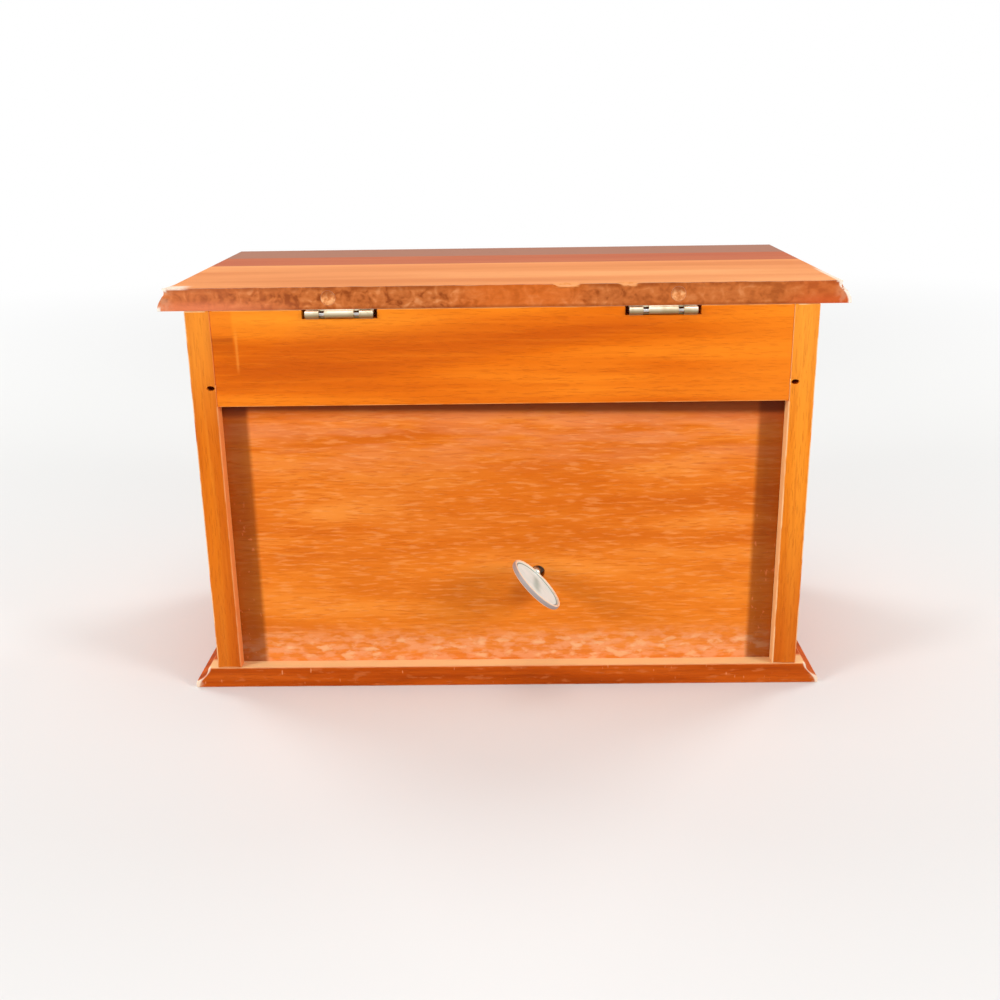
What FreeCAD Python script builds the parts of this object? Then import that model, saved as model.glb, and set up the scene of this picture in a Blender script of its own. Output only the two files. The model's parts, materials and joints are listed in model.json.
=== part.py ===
import FreeCAD, Part
import math
import os
from FreeCAD import Vector

os.makedirs("parts", exist_ok=True)

# Musical jewelry box, in millimetres. X runs across the front, Y from the front to the back, Z up.
# The origin is the middle of the base board's underside.

# Case
body_width = 228.0
body_depth = 115.5
side_height = 141.3
board_thickness = 9.2
upper_board_height = 35.4
glue_gap = 0.02

# Base board and lid board with their mouldings
base_thickness = 8.5
base_overhang = 9.2
base_ledge = 3.9
base_lip = 2.3
cove_hollow = 1.25
lid_thickness = 8.15
lid_overhang = 10.1
lid_moulding_width = 4.2
lid_lip = 1.0
lid_nose_share = 0.75
lid_nose_bulge = 0.6
lid_hollow_depth = 0.2
lid_quirk = 1.1
lid_side_shift = -0.75
plug_radius = 2.6
plug_length = 3.4
plug_half_spacing = 62.5

# Thin panels
floor_thickness = 2.5
floor_lift = 5.75
floor_groove = 3.9
panel_thickness = 5.0
panel_recess = 5.8
panel_groove = 4.0
panel_top_gap = 0.75
inner_back_thickness = 2.5
inner_back_groove = 3.0
movement_space = 24.5
shelf_thickness = 6.0
shelf_groove = 3.0

# Butt hinges
hinge_half_spacing = 58.0
hinge_length = 24.5
end_knuckle_length = 5.0
middle_knuckle_length = 10.6
knuckle_radius = 1.4
hinge_pin_radius = 0.6
pin_clearance = 0.05
leaf_thickness = 0.8
leaf_width = 8.2
gain_length = 27.2
gain_depth = 3.4
hinge_axis_out = 0.4
knuckle_clearance = 0.3
leaf_screw_half_spacing = 7.5
leaf_screw_place = 4.9
leaf_screw_radius = 0.8
leaf_screw_head_radius = 1.52
leaf_screw_length = 5.5
screw_fit = 0.03

# Lid lining
mirror_width = 176.0
mirror_height = 68.0
mirror_thickness = 2.0
mirror_fit = 0.3
surround_width = 8.0
surround_thickness = 0.8

# Top compartment
lining_thickness = 1.5
lining_clearance = 0.3
partition_place = -28.0
partition_thickness = 3.0
partition_height = 18.0
partition_round = 1.35
ring_roll_count = 6
ring_roll_height = 13.0
ring_roll_gap = 0.3

# Drawers
drawer_gap = 0.6
drawer_foot = 0.2
drawer_front_thickness = 9.2
drawer_side_thickness = 6.0
drawer_side_drop = 4.0
drawer_back_gap = 0.5
drawer_bottom_thickness = 2.5
drawer_bottom_lift = 3.0
drawer_bottom_groove = 3.0
drawer_lap = 3.0
drawer_lining_thickness = 1.2
drawer_edge_round = 1.0
knob_half_spacing = 52.0
knob_radius = 6.5
knob_foot_radius = 4.9
knob_foot_thickness = 1.2
knob_neck_radius = 2.9
knob_neck_length = 3.6
knob_face_radius = 3.6
knob_bulge = 0.9
knob_length = 12.0
knob_screw_radius = 1.4
knob_screw_bite = 7.0
knob_screw_head_radius = 2.8
knob_screw_head_height = 1.8

# Winding key
key_place_x = -12.0
key_place_z = 46.0
key_out = 7.7
key_disc_radius = 12.0
key_disc_thickness = 1.0
key_rim = 1.0
key_sleeve_radius = 1.9
key_hole_radius = 2.8
key_hole_shift_x = -0.8
key_hole_shift_z = -0.3
key_turned = 45.0

# Music movement, measured from the winding arbor: along the cylinder, across it, and up from the panel
plate_thickness = 2.0
plate_left = -14.0
plate_right = 46.0
plate_low = -29.0
plate_high = 20.0
plate_corner = 3.0
arbor_radius = 1.5
arbor_hub_radius = 2.7
arbor_top_radius = 1.2
running_clearance = 0.05
end_play = 0.2
ratchet_radius = 5.2
ratchet_depth = 1.0
ratchet_teeth = 14
ratchet_back = 0.1
ratchet_thickness = 1.2
click_post_place = -12.0
click_post_radius = 1.4
click_arm_thickness = 0.8
click_arm_rise = 2.4
ratchet_height = 2.4
barrel_gear_height = 4.6
barrel_gear_thickness = 1.15
barrel_module = 0.45
barrel_gear_teeth = 48
pinion_teeth = 12
barrel_face = 1.8
pressure_angle = 20.0
crown_tooth_height = 2.25
barrel_radius = 9.4
barrel_wall = 0.5
barrel_height = 11.0
barrel_round = 1.2
spring_turns = 4
spring_thickness = 0.35
bridge_gap = 0.4
bridge_thickness = 1.2
bridge_post_place = 14.0
bridge_post_radius = 2.2
cylinder_height = 9.4
cylinder_start = 14.9
cylinder_length = 19.5
cylinder_radius = 6.5
cylinder_wall = 0.7
cylinder_arbor_radius = 0.8
pin_length = 0.7
pin_seat = 0.3
pin_width = 0.36
pins_per_tooth = 4
beats_round = 60
beats_between_teeth = 7
beats_between_notes = 13
comb_teeth = 18
comb_gap = 0.3
comb_tooth_thickness = 0.9
comb_base_thickness = 1.6
comb_longest_tooth = 13.0
comb_shortest_tooth = 8.6
comb_slit = 0.25
comb_margin = 0.6
comb_seat_gap = 0.6
weighted_teeth = 7
weight_length = 4.0
weight_tip_gap = 1.0
weight_depth = 1.45
weight_lessening = 0.14
train_module = 0.35
wheel_teeth = 40
wheel_thickness = 1.0
wheel_space = 0.4
idler_pinion_teeth = 10
worm_wheel_module = 0.4
worm_wheel_teeth = 24
worm_wheel_thickness = 1.0
worm_core_radius = 0.7
worm_turns = 3
thread_turn = 90.0
thread_foot_spread = 1.3
thread_tip_spread = 0.5
thread_sink = 0.2
tooth_slack = 0.8
tooth_rise = 0.9
tooth_drop = 1.25
tooth_foot_spread = 1.35
tooth_tip_spread = 0.4
wall_thickness = 1.0
bearing_margin = 2.4
post_thickness = 1.6
bracket_width = 4.0
bracket_arm_half = 1.6
fan_hub_radius = 1.35
fan_radius = 5.0
fan_height = 5.2
fan_thickness = 0.6
fan_clearance = 0.6
governor_arbor_radius = 0.45
lever_pivot_along = 22.0
lever_pivot_across = 16.6
lever_height = 5.5
lever_thickness = 1.0
lever_width = 2.4
lever_hub_radius = 1.9
lever_post_radius = 1.4
lever_pin_radius = 0.4
lever_pin_place = 110.0
lever_turn = 12.0
stop_clearance = 0.3
rod_radius = 1.0
rod_along = 30.0
rod_guide_half = 2.5
rod_guide_thickness = 1.5
rod_lid_gap = 0.3
machine_screw_radius = 0.9
machine_screw_bite = 4.0
screw_head_spread = 1.8
screw_head_height = 1.3
wood_screw_radius = 1.1
wood_screw_bite = 4.2

# Worked out from the sizes above
rear = (body_depth + base_overhang) / 2
front = rear - body_depth
half_width = body_width / 2
inner_half = half_width - board_thickness
case_top = base_thickness + side_height
upper_board_low = case_top - upper_board_height
floor_height = upper_board_low + floor_lift
floor_top = floor_height + floor_thickness
panel_top = floor_height - panel_top_gap
panel_back = rear - panel_recess
key_sleeve_end = rear + key_out - key_disc_radius + key_rim
panel_front = panel_back - panel_thickness
inner_back_rear = panel_front - movement_space
inner_back_front = inner_back_rear - inner_back_thickness
board_rear_inside = rear - board_thickness
board_front_inside = front + board_thickness
mirror_middle = (board_front_inside + board_rear_inside) / 2
mirror_low = mirror_middle - mirror_height / 2
mirror_high = mirror_middle + mirror_height / 2
plug_z = case_top + lid_thickness / 2
shelf_low = (base_thickness + upper_board_low - shelf_thickness) / 2
drawer_half = inner_half - drawer_gap
drawer_rear = inner_back_front - drawer_back_gap
drawer_inner_half = drawer_half - drawer_side_thickness
drawer_front_inside = front + drawer_front_thickness
hinge_y = rear + hinge_axis_out
hinge_z = case_top - gain_depth / 2
barrel_gear_radius = barrel_module * barrel_gear_teeth / 2
barrel_gear_top = barrel_gear_height + barrel_gear_thickness
cylinder_end = cylinder_start + cylinder_length
wheel_along = cylinder_end + wheel_space
train_wall_along = wheel_along + wheel_thickness + wheel_space
idler_across = train_module * (wheel_teeth + idler_pinion_teeth) / 2
worm_wheel_radius = worm_wheel_module * worm_wheel_teeth / 2
worm_wheel_along = train_wall_along + wall_thickness + wheel_space
worm_along = worm_wheel_along + worm_wheel_thickness / 2
worm_pitch_radius = worm_core_radius + tooth_drop * worm_wheel_module
worm_across = idler_across + worm_wheel_radius + worm_pitch_radius
worm_lead = math.pi * worm_wheel_module
fan_low = cylinder_height + worm_wheel_radius + worm_wheel_module + fan_clearance
fan_high = fan_low + fan_height
bracket_along = worm_wheel_along + worm_wheel_thickness + wheel_space
bridge_low = barrel_gear_top + barrel_height + bridge_gap
comb_tip = -(cylinder_radius + pin_length + comb_gap)
comb_pitch = (cylinder_length - 2 * comb_margin) / comb_teeth
comb_low = cylinder_height - comb_tooth_thickness / 2
comb_end = plate_low + wall_thickness
rod_up = lever_height + lever_thickness / 2


def box(low, high):
    return Part.makeBox(high[0] - low[0], high[1] - low[1], high[2] - low[2], Vector(*low))


def rod(radius, start, end):
    along = Vector(*end) - Vector(*start)
    return Part.makeCylinder(radius, along.Length, Vector(*start), along)


def outline_face(points):
    return Part.Face(Part.makePolygon([Vector(*p) for p in points] + [Vector(*points[0])]))


def turned(outline, start, axis):
    """Revolves a closed outline of (distance along the line, radius) about a line through start."""
    direction = Vector(*axis).normalize()
    across = Vector(0, 0, 1)
    if direction.z != 0:
        across = direction.cross(Vector(0, 1, 0)).normalize()
    places = [Vector(*start) + direction * along + across * radius for along, radius in outline]
    return Part.Face(Part.makePolygon(places + [places[0]])).revolve(Vector(*start), direction, 360)


def fused(shapes):
    whole = shapes[0].multiFuse(shapes[1:])
    return whole.removeSplitter()


def round_edges(shape, radius, wanted):
    return shape.makeFillet(radius, [edge for edge in shape.Edges if wanted(edge)])


def save(name, shape):
    shape.exportStep("parts/" + name + ".step")


# Moulded boards. Each is the overlap of a section run from front to back and one run across, which
# mitres the moulding at the two front corners and leaves the back edge plain.

def cove_edge():
    """The base's edge as (in from the lip, height): a lip, a hollow and a sharp top arris."""
    low = Vector(0, base_lip, 0)
    high = Vector(base_overhang - base_ledge, base_thickness, 0)
    along = (high - low).normalize()
    middle = (low + high) / 2 + Vector(along.y, -along.x, 0) * cove_hollow
    return [("line", (0, 0), (0, base_lip)), ("arc", (0, base_lip), (middle.x, middle.y), (high.x, high.y))]


def ogee_edge():
    """The lid's edge: a low lip, a long round nose, a slight hollow and a small upright step on top."""
    foot = Vector(0, lid_lip, 0)
    top = Vector(lid_moulding_width, lid_thickness - lid_quirk, 0)
    turn = foot + (top - foot) * lid_nose_share
    outward = Vector(foot.y - top.y, top.x - foot.x, 0).normalize()
    nose = (foot + turn) / 2 + outward * lid_nose_bulge
    hollow = (turn + top) / 2 - outward * lid_hollow_depth
    return [
        ("line", (0, 0), (0, lid_lip)),
        ("arc", (foot.x, foot.y), (nose.x, nose.y), (turn.x, turn.y)),
        ("arc", (turn.x, turn.y), (hollow.x, hollow.y), (top.x, top.y)),
        ("line", (top.x, top.y), (top.x, lid_thickness)),
    ]


def edge_curves(steps, place):
    """Turns an edge's steps into curves; place gives the point for (in from the lip, height)."""
    curves = []
    for step in steps:
        points = [place(*p) for p in step[1:]]
        if step[0] == "line":
            curves.append(Part.LineSegment(points[0], points[1]).toShape())
        else:
            curves.append(Part.Arc(points[0], points[1], points[2]).toShape())
    return curves


def closed_section(first, second):
    """Joins two runs of curves that climb from the underside into one closed face."""
    low = Part.LineSegment(first[0].Vertexes[0].Point, second[0].Vertexes[0].Point).toShape()
    high = Part.LineSegment(first[-1].Vertexes[-1].Point, second[-1].Vertexes[-1].Point).toShape()
    return Part.Face(Part.Wire(Part.__sortEdges__(first + second + [low, high])))


def moulded_board(steps, overhang, middle, low, thickness):
    """A board that stands out round the case by overhang, apart from the back, where it is flush."""
    half = half_width + overhang
    lip = front - overhang
    left = edge_curves(steps, lambda a, b: Vector(middle - half + a, lip, low + b))
    right = edge_curves(steps, lambda a, b: Vector(middle + half - a, lip, low + b))
    across = closed_section(left, right).extrude(Vector(0, rear - lip, 0))
    fore = edge_curves(steps, lambda a, b: Vector(middle - half, lip + a, low + b))
    back = edge_curves([("line", (0, 0), (0, thickness))],
                       lambda a, b: Vector(middle - half, rear - a, low + b))
    along = closed_section(fore, back).extrude(Vector(2 * half, 0, 0))
    return across.common(along)


def base_board():
    return moulded_board(cove_edge(), base_overhang, 0, 0, base_thickness)


def lid_board():
    board = moulded_board(ogee_edge(), lid_overhang, lid_side_shift, case_top, lid_thickness)
    recess = box((-mirror_width / 2 - mirror_fit, mirror_low - mirror_fit, case_top),
                 (mirror_width / 2 + mirror_fit, mirror_high + mirror_fit, case_top + mirror_thickness))
    board = board.cut(recess)
    for place in plug_places():
        board = board.cut(rod(plug_radius, (place, rear - plug_length, plug_z), (place, rear, plug_z)))
    for x, y in leaf_screw_places():
        board = board.cut(rod(leaf_screw_radius + screw_fit, (x, y, case_top),
                              (x, y, case_top + leaf_screw_length)))
    return board


def plug_places():
    return [lid_side_shift - plug_half_spacing, lid_side_shift + plug_half_spacing]


def lid_plugs():
    """Two round wooden plugs, glued into the lid's rear edge."""
    plugs = []
    for place in plug_places():
        plug = rod(plug_radius - glue_gap, (place, rear - plug_length + glue_gap, plug_z),
                   (place, rear, plug_z))
        plugs.append(plug)
    return Part.makeCompound(plugs)


# Case boards

def side_board(side):
    """One side board; side is -1 for the left and +1 for the right, seen from the front."""
    def inner_slot(depth, y_low, y_high, z_low, z_high):
        near, far = sorted((side * inner_half, side * (inner_half + depth)))
        return box((near, y_low, z_low), (far, y_high, z_high))

    near, far = sorted((side * inner_half, side * half_width))
    board = box((near, front, base_thickness), (far, rear, case_top))
    board = board.cut(inner_slot(floor_groove, front + board_thickness / 2, rear, floor_height - glue_gap,
                                 floor_top + glue_gap))
    board = board.cut(inner_slot(panel_groove, panel_front - glue_gap, panel_back + glue_gap,
                                 base_thickness, panel_top))
    board = board.cut(inner_slot(inner_back_groove, inner_back_front - glue_gap, inner_back_rear + glue_gap,
                                 base_thickness, floor_height))
    board = board.cut(inner_slot(shelf_groove, front, inner_back_front, shelf_low - glue_gap,
                                 shelf_low + shelf_thickness + glue_gap))
    return board


def upper_back_board():
    board = box((-inner_half, board_rear_inside, upper_board_low), (inner_half, rear, case_top))
    board = board.cut(box((-inner_half, board_rear_inside, floor_height - glue_gap),
                          (inner_half, board_rear_inside + floor_groove, floor_top + glue_gap)))
    board = board.cut(box((-inner_half, board_rear_inside, upper_board_low),
                          (inner_half, panel_back + glue_gap, panel_top + glue_gap)))
    for side in (-1, 1):
        middle = side * hinge_half_spacing
        gain = box((middle - gain_length / 2, hinge_y - leaf_width - knuckle_clearance,
                    case_top - gain_depth),
                   (middle + gain_length / 2, rear, case_top))
        board = board.cut(gain)
    for x, y in leaf_screw_places():
        board = board.cut(rod(leaf_screw_radius + screw_fit, (x, y, case_top - gain_depth),
                              (x, y, case_top - gain_depth - leaf_screw_length)))
    return board


def upper_front_board():
    board = box((-inner_half, front, upper_board_low), (inner_half, board_front_inside, case_top))
    return board.cut(box((-inner_half, board_front_inside - floor_groove, floor_height - glue_gap),
                         (inner_half, board_front_inside, floor_top + glue_gap)))


def compartment_floor():
    """The tray floor, let into a groove all round, with a hole for the stop rod."""
    reach = floor_groove - drawer_gap
    floor = box((-inner_half - reach, board_front_inside - reach, floor_height),
                (inner_half + reach, board_rear_inside + reach, floor_top))
    for x in (-1, 1):
        for edge, step in ((board_front_inside, -1), (board_rear_inside, 1)):
            near_x, far_x = sorted((x * inner_half, x * (inner_half + reach)))
            near_y, far_y = sorted((edge, edge + step * reach))
            floor = floor.cut(box((near_x, near_y, floor_height), (far_x, far_y, floor_top)))
    return floor.cut(rod_hole(floor_height, floor_top))


def back_panel():
    """The recessed back, in grooves of the sides and a rabbet of the upper back board."""
    reach = panel_groove - glue_gap
    panel = box((-inner_half - reach, panel_front, base_thickness),
                (inner_half + reach, panel_back, panel_top))
    hole = rod(key_hole_radius,
               (key_place_x + key_hole_shift_x, panel_front, key_place_z + key_hole_shift_z),
               (key_place_x + key_hole_shift_x, panel_back, key_place_z + key_hole_shift_z))
    panel = panel.cut(hole)
    for along, across in mounting_places():
        panel = panel.cut(rod(wood_screw_radius + screw_fit, at(along, across, 0),
                              at(along, across, -wood_screw_bite)))
    return panel


def inner_back():
    """The thin board that parts the drawers from the movement."""
    reach = inner_back_groove - glue_gap
    return box((-inner_half - reach, inner_back_front, base_thickness),
               (inner_half + reach, inner_back_rear, floor_height))


def drawer_shelf():
    reach = shelf_groove - glue_gap
    return box((-inner_half - reach, front, shelf_low),
               (inner_half + reach, inner_back_front, shelf_low + shelf_thickness))


# Hinges

def leaf_screw_places():
    screw_y = hinge_y - leaf_screw_place
    return [(side * hinge_half_spacing + step * leaf_screw_half_spacing, screw_y)
            for side in (-1, 1) for step in (-1, 1)]


def knuckle(start, end, fit):
    barrel = rod(knuckle_radius, (start, hinge_y, hinge_z), (end, hinge_y, hinge_z))
    return barrel.cut(rod(hinge_pin_radius + fit, (start, hinge_y, hinge_z), (end, hinge_y, hinge_z)))


def hinge_leaf(middle, up):
    """One leaf; up is +1 for the lid's, with the middle knuckle, and -1 for the case's, with the end ones."""
    seat = gain_depth / 2
    near_z, far_z = sorted((hinge_z + up * (seat - leaf_thickness), hinge_z + up * seat))
    left = middle - hinge_length / 2
    right = middle + hinge_length / 2
    plate = box((left, hinge_y - leaf_width, near_z), (right, hinge_y, far_z))
    back_off = knuckle_radius + knuckle_clearance
    inside = middle_knuckle_length / 2
    outside = hinge_length / 2 - end_knuckle_length
    if up > 0:
        plate = plate.cut(box((left, hinge_y - back_off, near_z), (middle - inside, hinge_y, far_z)))
        plate = plate.cut(box((middle + inside, hinge_y - back_off, near_z), (right, hinge_y, far_z)))
        leaf = plate.fuse(knuckle(middle - inside, middle + inside, pin_clearance))
    else:
        plate = plate.cut(box((middle - outside, hinge_y - back_off, near_z),
                              (middle + outside, hinge_y, far_z)))
        leaf = plate.fuse(knuckle(left, left + end_knuckle_length, glue_gap))
        leaf = leaf.fuse(knuckle(right - end_knuckle_length, right, glue_gap))
    leaf = leaf.cut(rod(hinge_pin_radius + glue_gap, (left, hinge_y, hinge_z), (right, hinge_y, hinge_z)))
    for x, y in leaf_screw_places():
        if left < x < right:
            wide = leaf_screw_head_radius + screw_fit
            near, far = (hinge_z + up * (seat - leaf_thickness), hinge_z + up * seat)
            cone = Part.makeCone(wide, leaf_screw_radius + screw_fit, leaf_thickness, Vector(x, y, near),
                                 Vector(0, 0, up))
            leaf = leaf.cut(cone)
    return leaf.removeSplitter()


def hinge_pins():
    pins = []
    for side in (-1, 1):
        middle = side * hinge_half_spacing
        pins.append(rod(hinge_pin_radius, (middle - hinge_length / 2, hinge_y, hinge_z),
                        (middle + hinge_length / 2, hinge_y, hinge_z)))
    return Part.makeCompound(pins)


def countersunk_screw(x, y, z, up):
    """A small screw whose flat head lies at height z and whose shank points along up."""
    wide = leaf_screw_head_radius
    end = leaf_thickness + leaf_screw_length - screw_fit
    outline = [(0, 0), (0, wide), (leaf_thickness, leaf_screw_radius), (end, leaf_screw_radius), (end, 0)]
    return turned(outline, (x, y, z), (0, 0, up))


def leaf_screws(up):
    head = hinge_z + up * (gain_depth / 2 - leaf_thickness)
    return Part.makeCompound([countersunk_screw(x, y, head, up) for x, y in leaf_screw_places()])


# Lid lining and top compartment

def lid_mirror():
    return box((-mirror_width / 2, mirror_low, case_top + glue_gap),
               (mirror_width / 2, mirror_high, case_top + mirror_thickness - glue_gap))


def mirror_surround():
    """A flocked card frame glued over the mirror's edge, hanging just inside the case."""
    outer = box((-mirror_width / 2 - surround_width / 2, mirror_low - surround_width / 2,
                 case_top - surround_thickness),
                (mirror_width / 2 + surround_width / 2, mirror_high + surround_width / 2, case_top))
    inner = box((-mirror_width / 2 + surround_width / 2, mirror_low + surround_width / 2,
                 case_top - surround_thickness),
                (mirror_width / 2 - surround_width / 2, mirror_high - surround_width / 2, case_top))
    return outer.cut(inner)


def rod_hole(low, high):
    x, y, z = at(rod_along, 0, rod_up)
    return rod(rod_radius + running_clearance, (x, y, low), (x, y, high))


def compartment_lining():
    low = floor_top
    pad = box((-inner_half + lining_clearance, board_front_inside + lining_clearance, low),
              (inner_half - lining_clearance, board_rear_inside - lining_clearance, low + lining_thickness))
    x, y, z = at(rod_along, 0, rod_up)
    pad = pad.cut(rod(rod_radius + lining_clearance, (x, y, low), (x, y, low + lining_thickness)))
    return pad


def compartment_partition():
    low = floor_top + lining_thickness
    board = box((partition_place - partition_thickness / 2, board_front_inside + lining_clearance, low),
                (partition_place + partition_thickness / 2, board_rear_inside - lining_clearance,
                 low + partition_height))
    top = low + partition_height
    return round_edges(board, partition_round, lambda e: e.BoundBox.ZMin > top - screw_fit
                       and e.BoundBox.YLength > partition_thickness)


def ring_rolls():
    """A row of padded rolls between which rings are held."""
    low = floor_top + lining_thickness
    left = -inner_half + lining_clearance
    right = partition_place - partition_thickness / 2 - lining_clearance
    start = board_front_inside + lining_clearance
    pitch = (board_rear_inside - lining_clearance - start) / ring_roll_count
    width = pitch - ring_roll_gap
    crown = low + ring_roll_height
    shoulder = crown - width / 2
    rolls = []
    for index in range(ring_roll_count):
        y0 = start + index * pitch
        y1 = y0 + width
        arch = Part.Arc(Vector(left, y0, shoulder), Vector(left, (y0 + y1) / 2, crown),
                        Vector(left, y1, shoulder)).toShape()
        rest = Part.makePolygon([Vector(left, y1, shoulder), Vector(left, y1, low), Vector(left, y0, low),
                                 Vector(left, y0, shoulder)])
        face = Part.Face(Part.Wire([arch] + rest.Edges))
        rolls.append(face.extrude(Vector(right - left, 0, 0)))
    return Part.makeCompound(rolls)


# Drawers. Each is a lapped front with grooved sides; the bottom slides in below the back.

def drawer_front(low, high):
    board = box((-drawer_half, front, low), (drawer_half, drawer_front_inside, high))
    board = round_edges(board, drawer_edge_round,
                        lambda e: e.BoundBox.YMax < front + screw_fit)
    for side in (-1, 1):
        near, far = sorted((side * drawer_inner_half, side * drawer_half))
        board = board.cut(box((near, drawer_front_inside - drawer_lap, low),
                              (far, drawer_front_inside, high)))
    groove_low = low + drawer_bottom_lift
    board = board.cut(box((-drawer_inner_half, drawer_front_inside - drawer_bottom_groove,
                           groove_low - glue_gap),
                          (drawer_inner_half, drawer_front_inside,
                           groove_low + drawer_bottom_thickness + glue_gap)))
    middle = (low + high) / 2
    for side in (-1, 1):
        x = side * knob_half_spacing
        board = board.cut(rod(knob_screw_radius + running_clearance, (x, front, middle),
                              (x, drawer_front_inside, middle)))
    return board


def drawer_side(side, low, high):
    near, far = sorted((side * drawer_inner_half, side * drawer_half))
    board = box((near, drawer_front_inside - drawer_lap + glue_gap, low), (far, drawer_rear, high))
    groove_low = low + drawer_bottom_lift
    near, far = sorted((side * drawer_inner_half, side * (drawer_inner_half + drawer_bottom_groove)))
    return board.cut(box((near, drawer_front_inside - drawer_lap, groove_low - glue_gap),
                         (far, drawer_rear, groove_low + drawer_bottom_thickness + glue_gap)))


def drawer_back(low, high):
    bottom_top = low + drawer_bottom_lift + drawer_bottom_thickness
    return box((-drawer_inner_half + glue_gap, drawer_rear - drawer_side_thickness, bottom_top + glue_gap),
               (drawer_inner_half - glue_gap, drawer_rear, high))


def drawer_bottom(low):
    reach = drawer_bottom_groove - glue_gap
    bottom_low = low + drawer_bottom_lift
    wide = box((-drawer_inner_half - reach, drawer_front_inside + glue_gap, bottom_low),
               (drawer_inner_half + reach, drawer_rear, bottom_low + drawer_bottom_thickness))
    tongue = box((-drawer_inner_half + glue_gap, drawer_front_inside - reach, bottom_low),
                 (drawer_inner_half - glue_gap, drawer_front_inside + glue_gap,
                  bottom_low + drawer_bottom_thickness))
    return wide.fuse(tongue).removeSplitter()


def drawer_lining(low):
    pad_low = low + drawer_bottom_lift + drawer_bottom_thickness
    return box((-drawer_inner_half + lining_clearance, drawer_front_inside + lining_clearance, pad_low),
               (drawer_inner_half - lining_clearance,
                drawer_rear - drawer_side_thickness - lining_clearance,
                pad_low + drawer_lining_thickness))


def knob_outline():
    """A turned knob: a round foot, a narrow neck and a rounded head with a flat face."""
    neck_end = knob_foot_thickness + knob_neck_length
    widest = (neck_end + knob_length) / 2
    shoulder = (knob_radius + knob_face_radius) / 2
    return [(0, 0), (0, knob_foot_radius), (knob_foot_thickness, knob_foot_radius),
            (knob_foot_thickness + knob_neck_length / 3, knob_neck_radius), (neck_end, knob_neck_radius),
            ((neck_end + widest) / 2, shoulder + knob_bulge), (widest, knob_radius),
            ((widest + knob_length) / 2, shoulder + knob_bulge), (knob_length, knob_face_radius),
            (knob_length, 0)]


def drawer_knobs(middle):
    """Two turned knobs, bored for their screws."""
    knobs = []
    for side in (-1, 1):
        x = side * knob_half_spacing
        knob = turned(knob_outline(), (x, front, middle), (0, -1, 0))
        bore = rod(knob_screw_radius + glue_gap, (x, front, middle), (x, front - knob_screw_bite, middle))
        knobs.append(knob.cut(bore))
    return Part.makeCompound(knobs)


def drawer_knob_screws(middle):
    """Pan-head screws from inside the drawer, through its front and into the knobs."""
    head = knob_screw_head_radius
    height = knob_screw_head_height
    reach = drawer_front_thickness + knob_screw_bite - glue_gap
    outline = [(0, 0), (0, knob_screw_radius), (reach, knob_screw_radius), (reach, head),
               (reach + height, head), (reach + height, 0)]
    screws = []
    for side in (-1, 1):
        x = side * knob_half_spacing
        screws.append(turned(outline, (x, drawer_front_inside - reach, middle), (0, 1, 0)))
    return Part.makeCompound(screws)


def make_drawer(name, opening_low, opening_high):
    low = opening_low + drawer_foot
    high = opening_high - drawer_gap
    side_high = high - drawer_side_drop
    middle = (low + high) / 2
    save(name + "_front", drawer_front(low, high))
    save(name + "_left_side", drawer_side(-1, low, side_high))
    save(name + "_right_side", drawer_side(1, low, side_high))
    save(name + "_back", drawer_back(low, side_high))
    save(name + "_bottom", drawer_bottom(low))
    save(name + "_lining", drawer_lining(low))
    save(name + "_knobs", drawer_knobs(middle))
    save(name + "_knob_screws", drawer_knob_screws(middle))


# Winding key and music movement. Places on the movement are given as (along, across, up): along the
# pinned cylinder, across it and up from the back panel's inner face, from the winding arbor's middle.

def at(along, across, up):
    return (key_place_x + along, panel_front - up, key_place_z + across)


def block(low, high):
    first = at(*low)
    last = at(*high)
    return box(tuple(map(min, first, last)), tuple(map(max, first, last)))


def upright(radius, along, across, low, high):
    return rod(radius, at(along, across, low), at(along, across, high))


def lying(radius, across, up, start, end):
    return rod(radius, at(start, across, up), at(end, across, up))


def mounting_places():
    inset = plate_corner
    return [(plate_left + inset, plate_low + inset), (plate_right - inset, plate_low + inset),
            (plate_left + inset, plate_high - inset)]


def winding_key():
    """A round dished disc with a raised rim, standing on edge on the end of its short threaded sleeve."""
    centre = Vector(key_place_x, rear + key_out, key_place_z)
    half = key_disc_thickness / 2
    outline = [(-half, 0), (-half, key_disc_radius - key_rim), (-key_rim, key_disc_radius - key_rim / 2),
               (-half, key_disc_radius), (half, key_disc_radius), (key_rim, key_disc_radius - key_rim / 2),
               (half, key_disc_radius - key_rim), (half, 0)]
    turn = math.radians(key_turned)
    disc = turned(outline, tuple(centre), (-math.cos(turn), 0, math.sin(turn)))
    inner_end = panel_back - panel_thickness / 2
    length = key_sleeve_end - inner_end
    sleeve = turned([(0, 0), (0, key_sleeve_radius), (length - key_rim, key_sleeve_radius),
                     (length, key_rim), (length, 0)], (key_place_x, inner_end, key_place_z), (0, 1, 0))
    bore = rod(arbor_radius + glue_gap, (key_place_x, inner_end, key_place_z),
               (key_place_x, key_sleeve_end - 2 * key_rim, key_place_z))
    return fused([disc, sleeve.cut(bore)])


def winding_arbor():
    """The stepped steel arbor from inside the key's sleeve to its top bearing in the bridge."""
    start = -(key_sleeve_end - 2 * key_rim - panel_front) + glue_gap
    hub_low = barrel_gear_top + end_play
    hub_high = barrel_gear_top + barrel_height - barrel_wall - end_play
    top = bridge_low + bridge_thickness
    outline = [(start, 0), (start, arbor_radius), (hub_low, arbor_radius), (hub_low, arbor_hub_radius),
               (hub_high, arbor_hub_radius), (hub_high, arbor_top_radius), (top, arbor_top_radius),
               (top, 0)]
    return fused([turned(outline, at(0, 0, 0), (0, -1, 0)), ratchet()])


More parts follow.
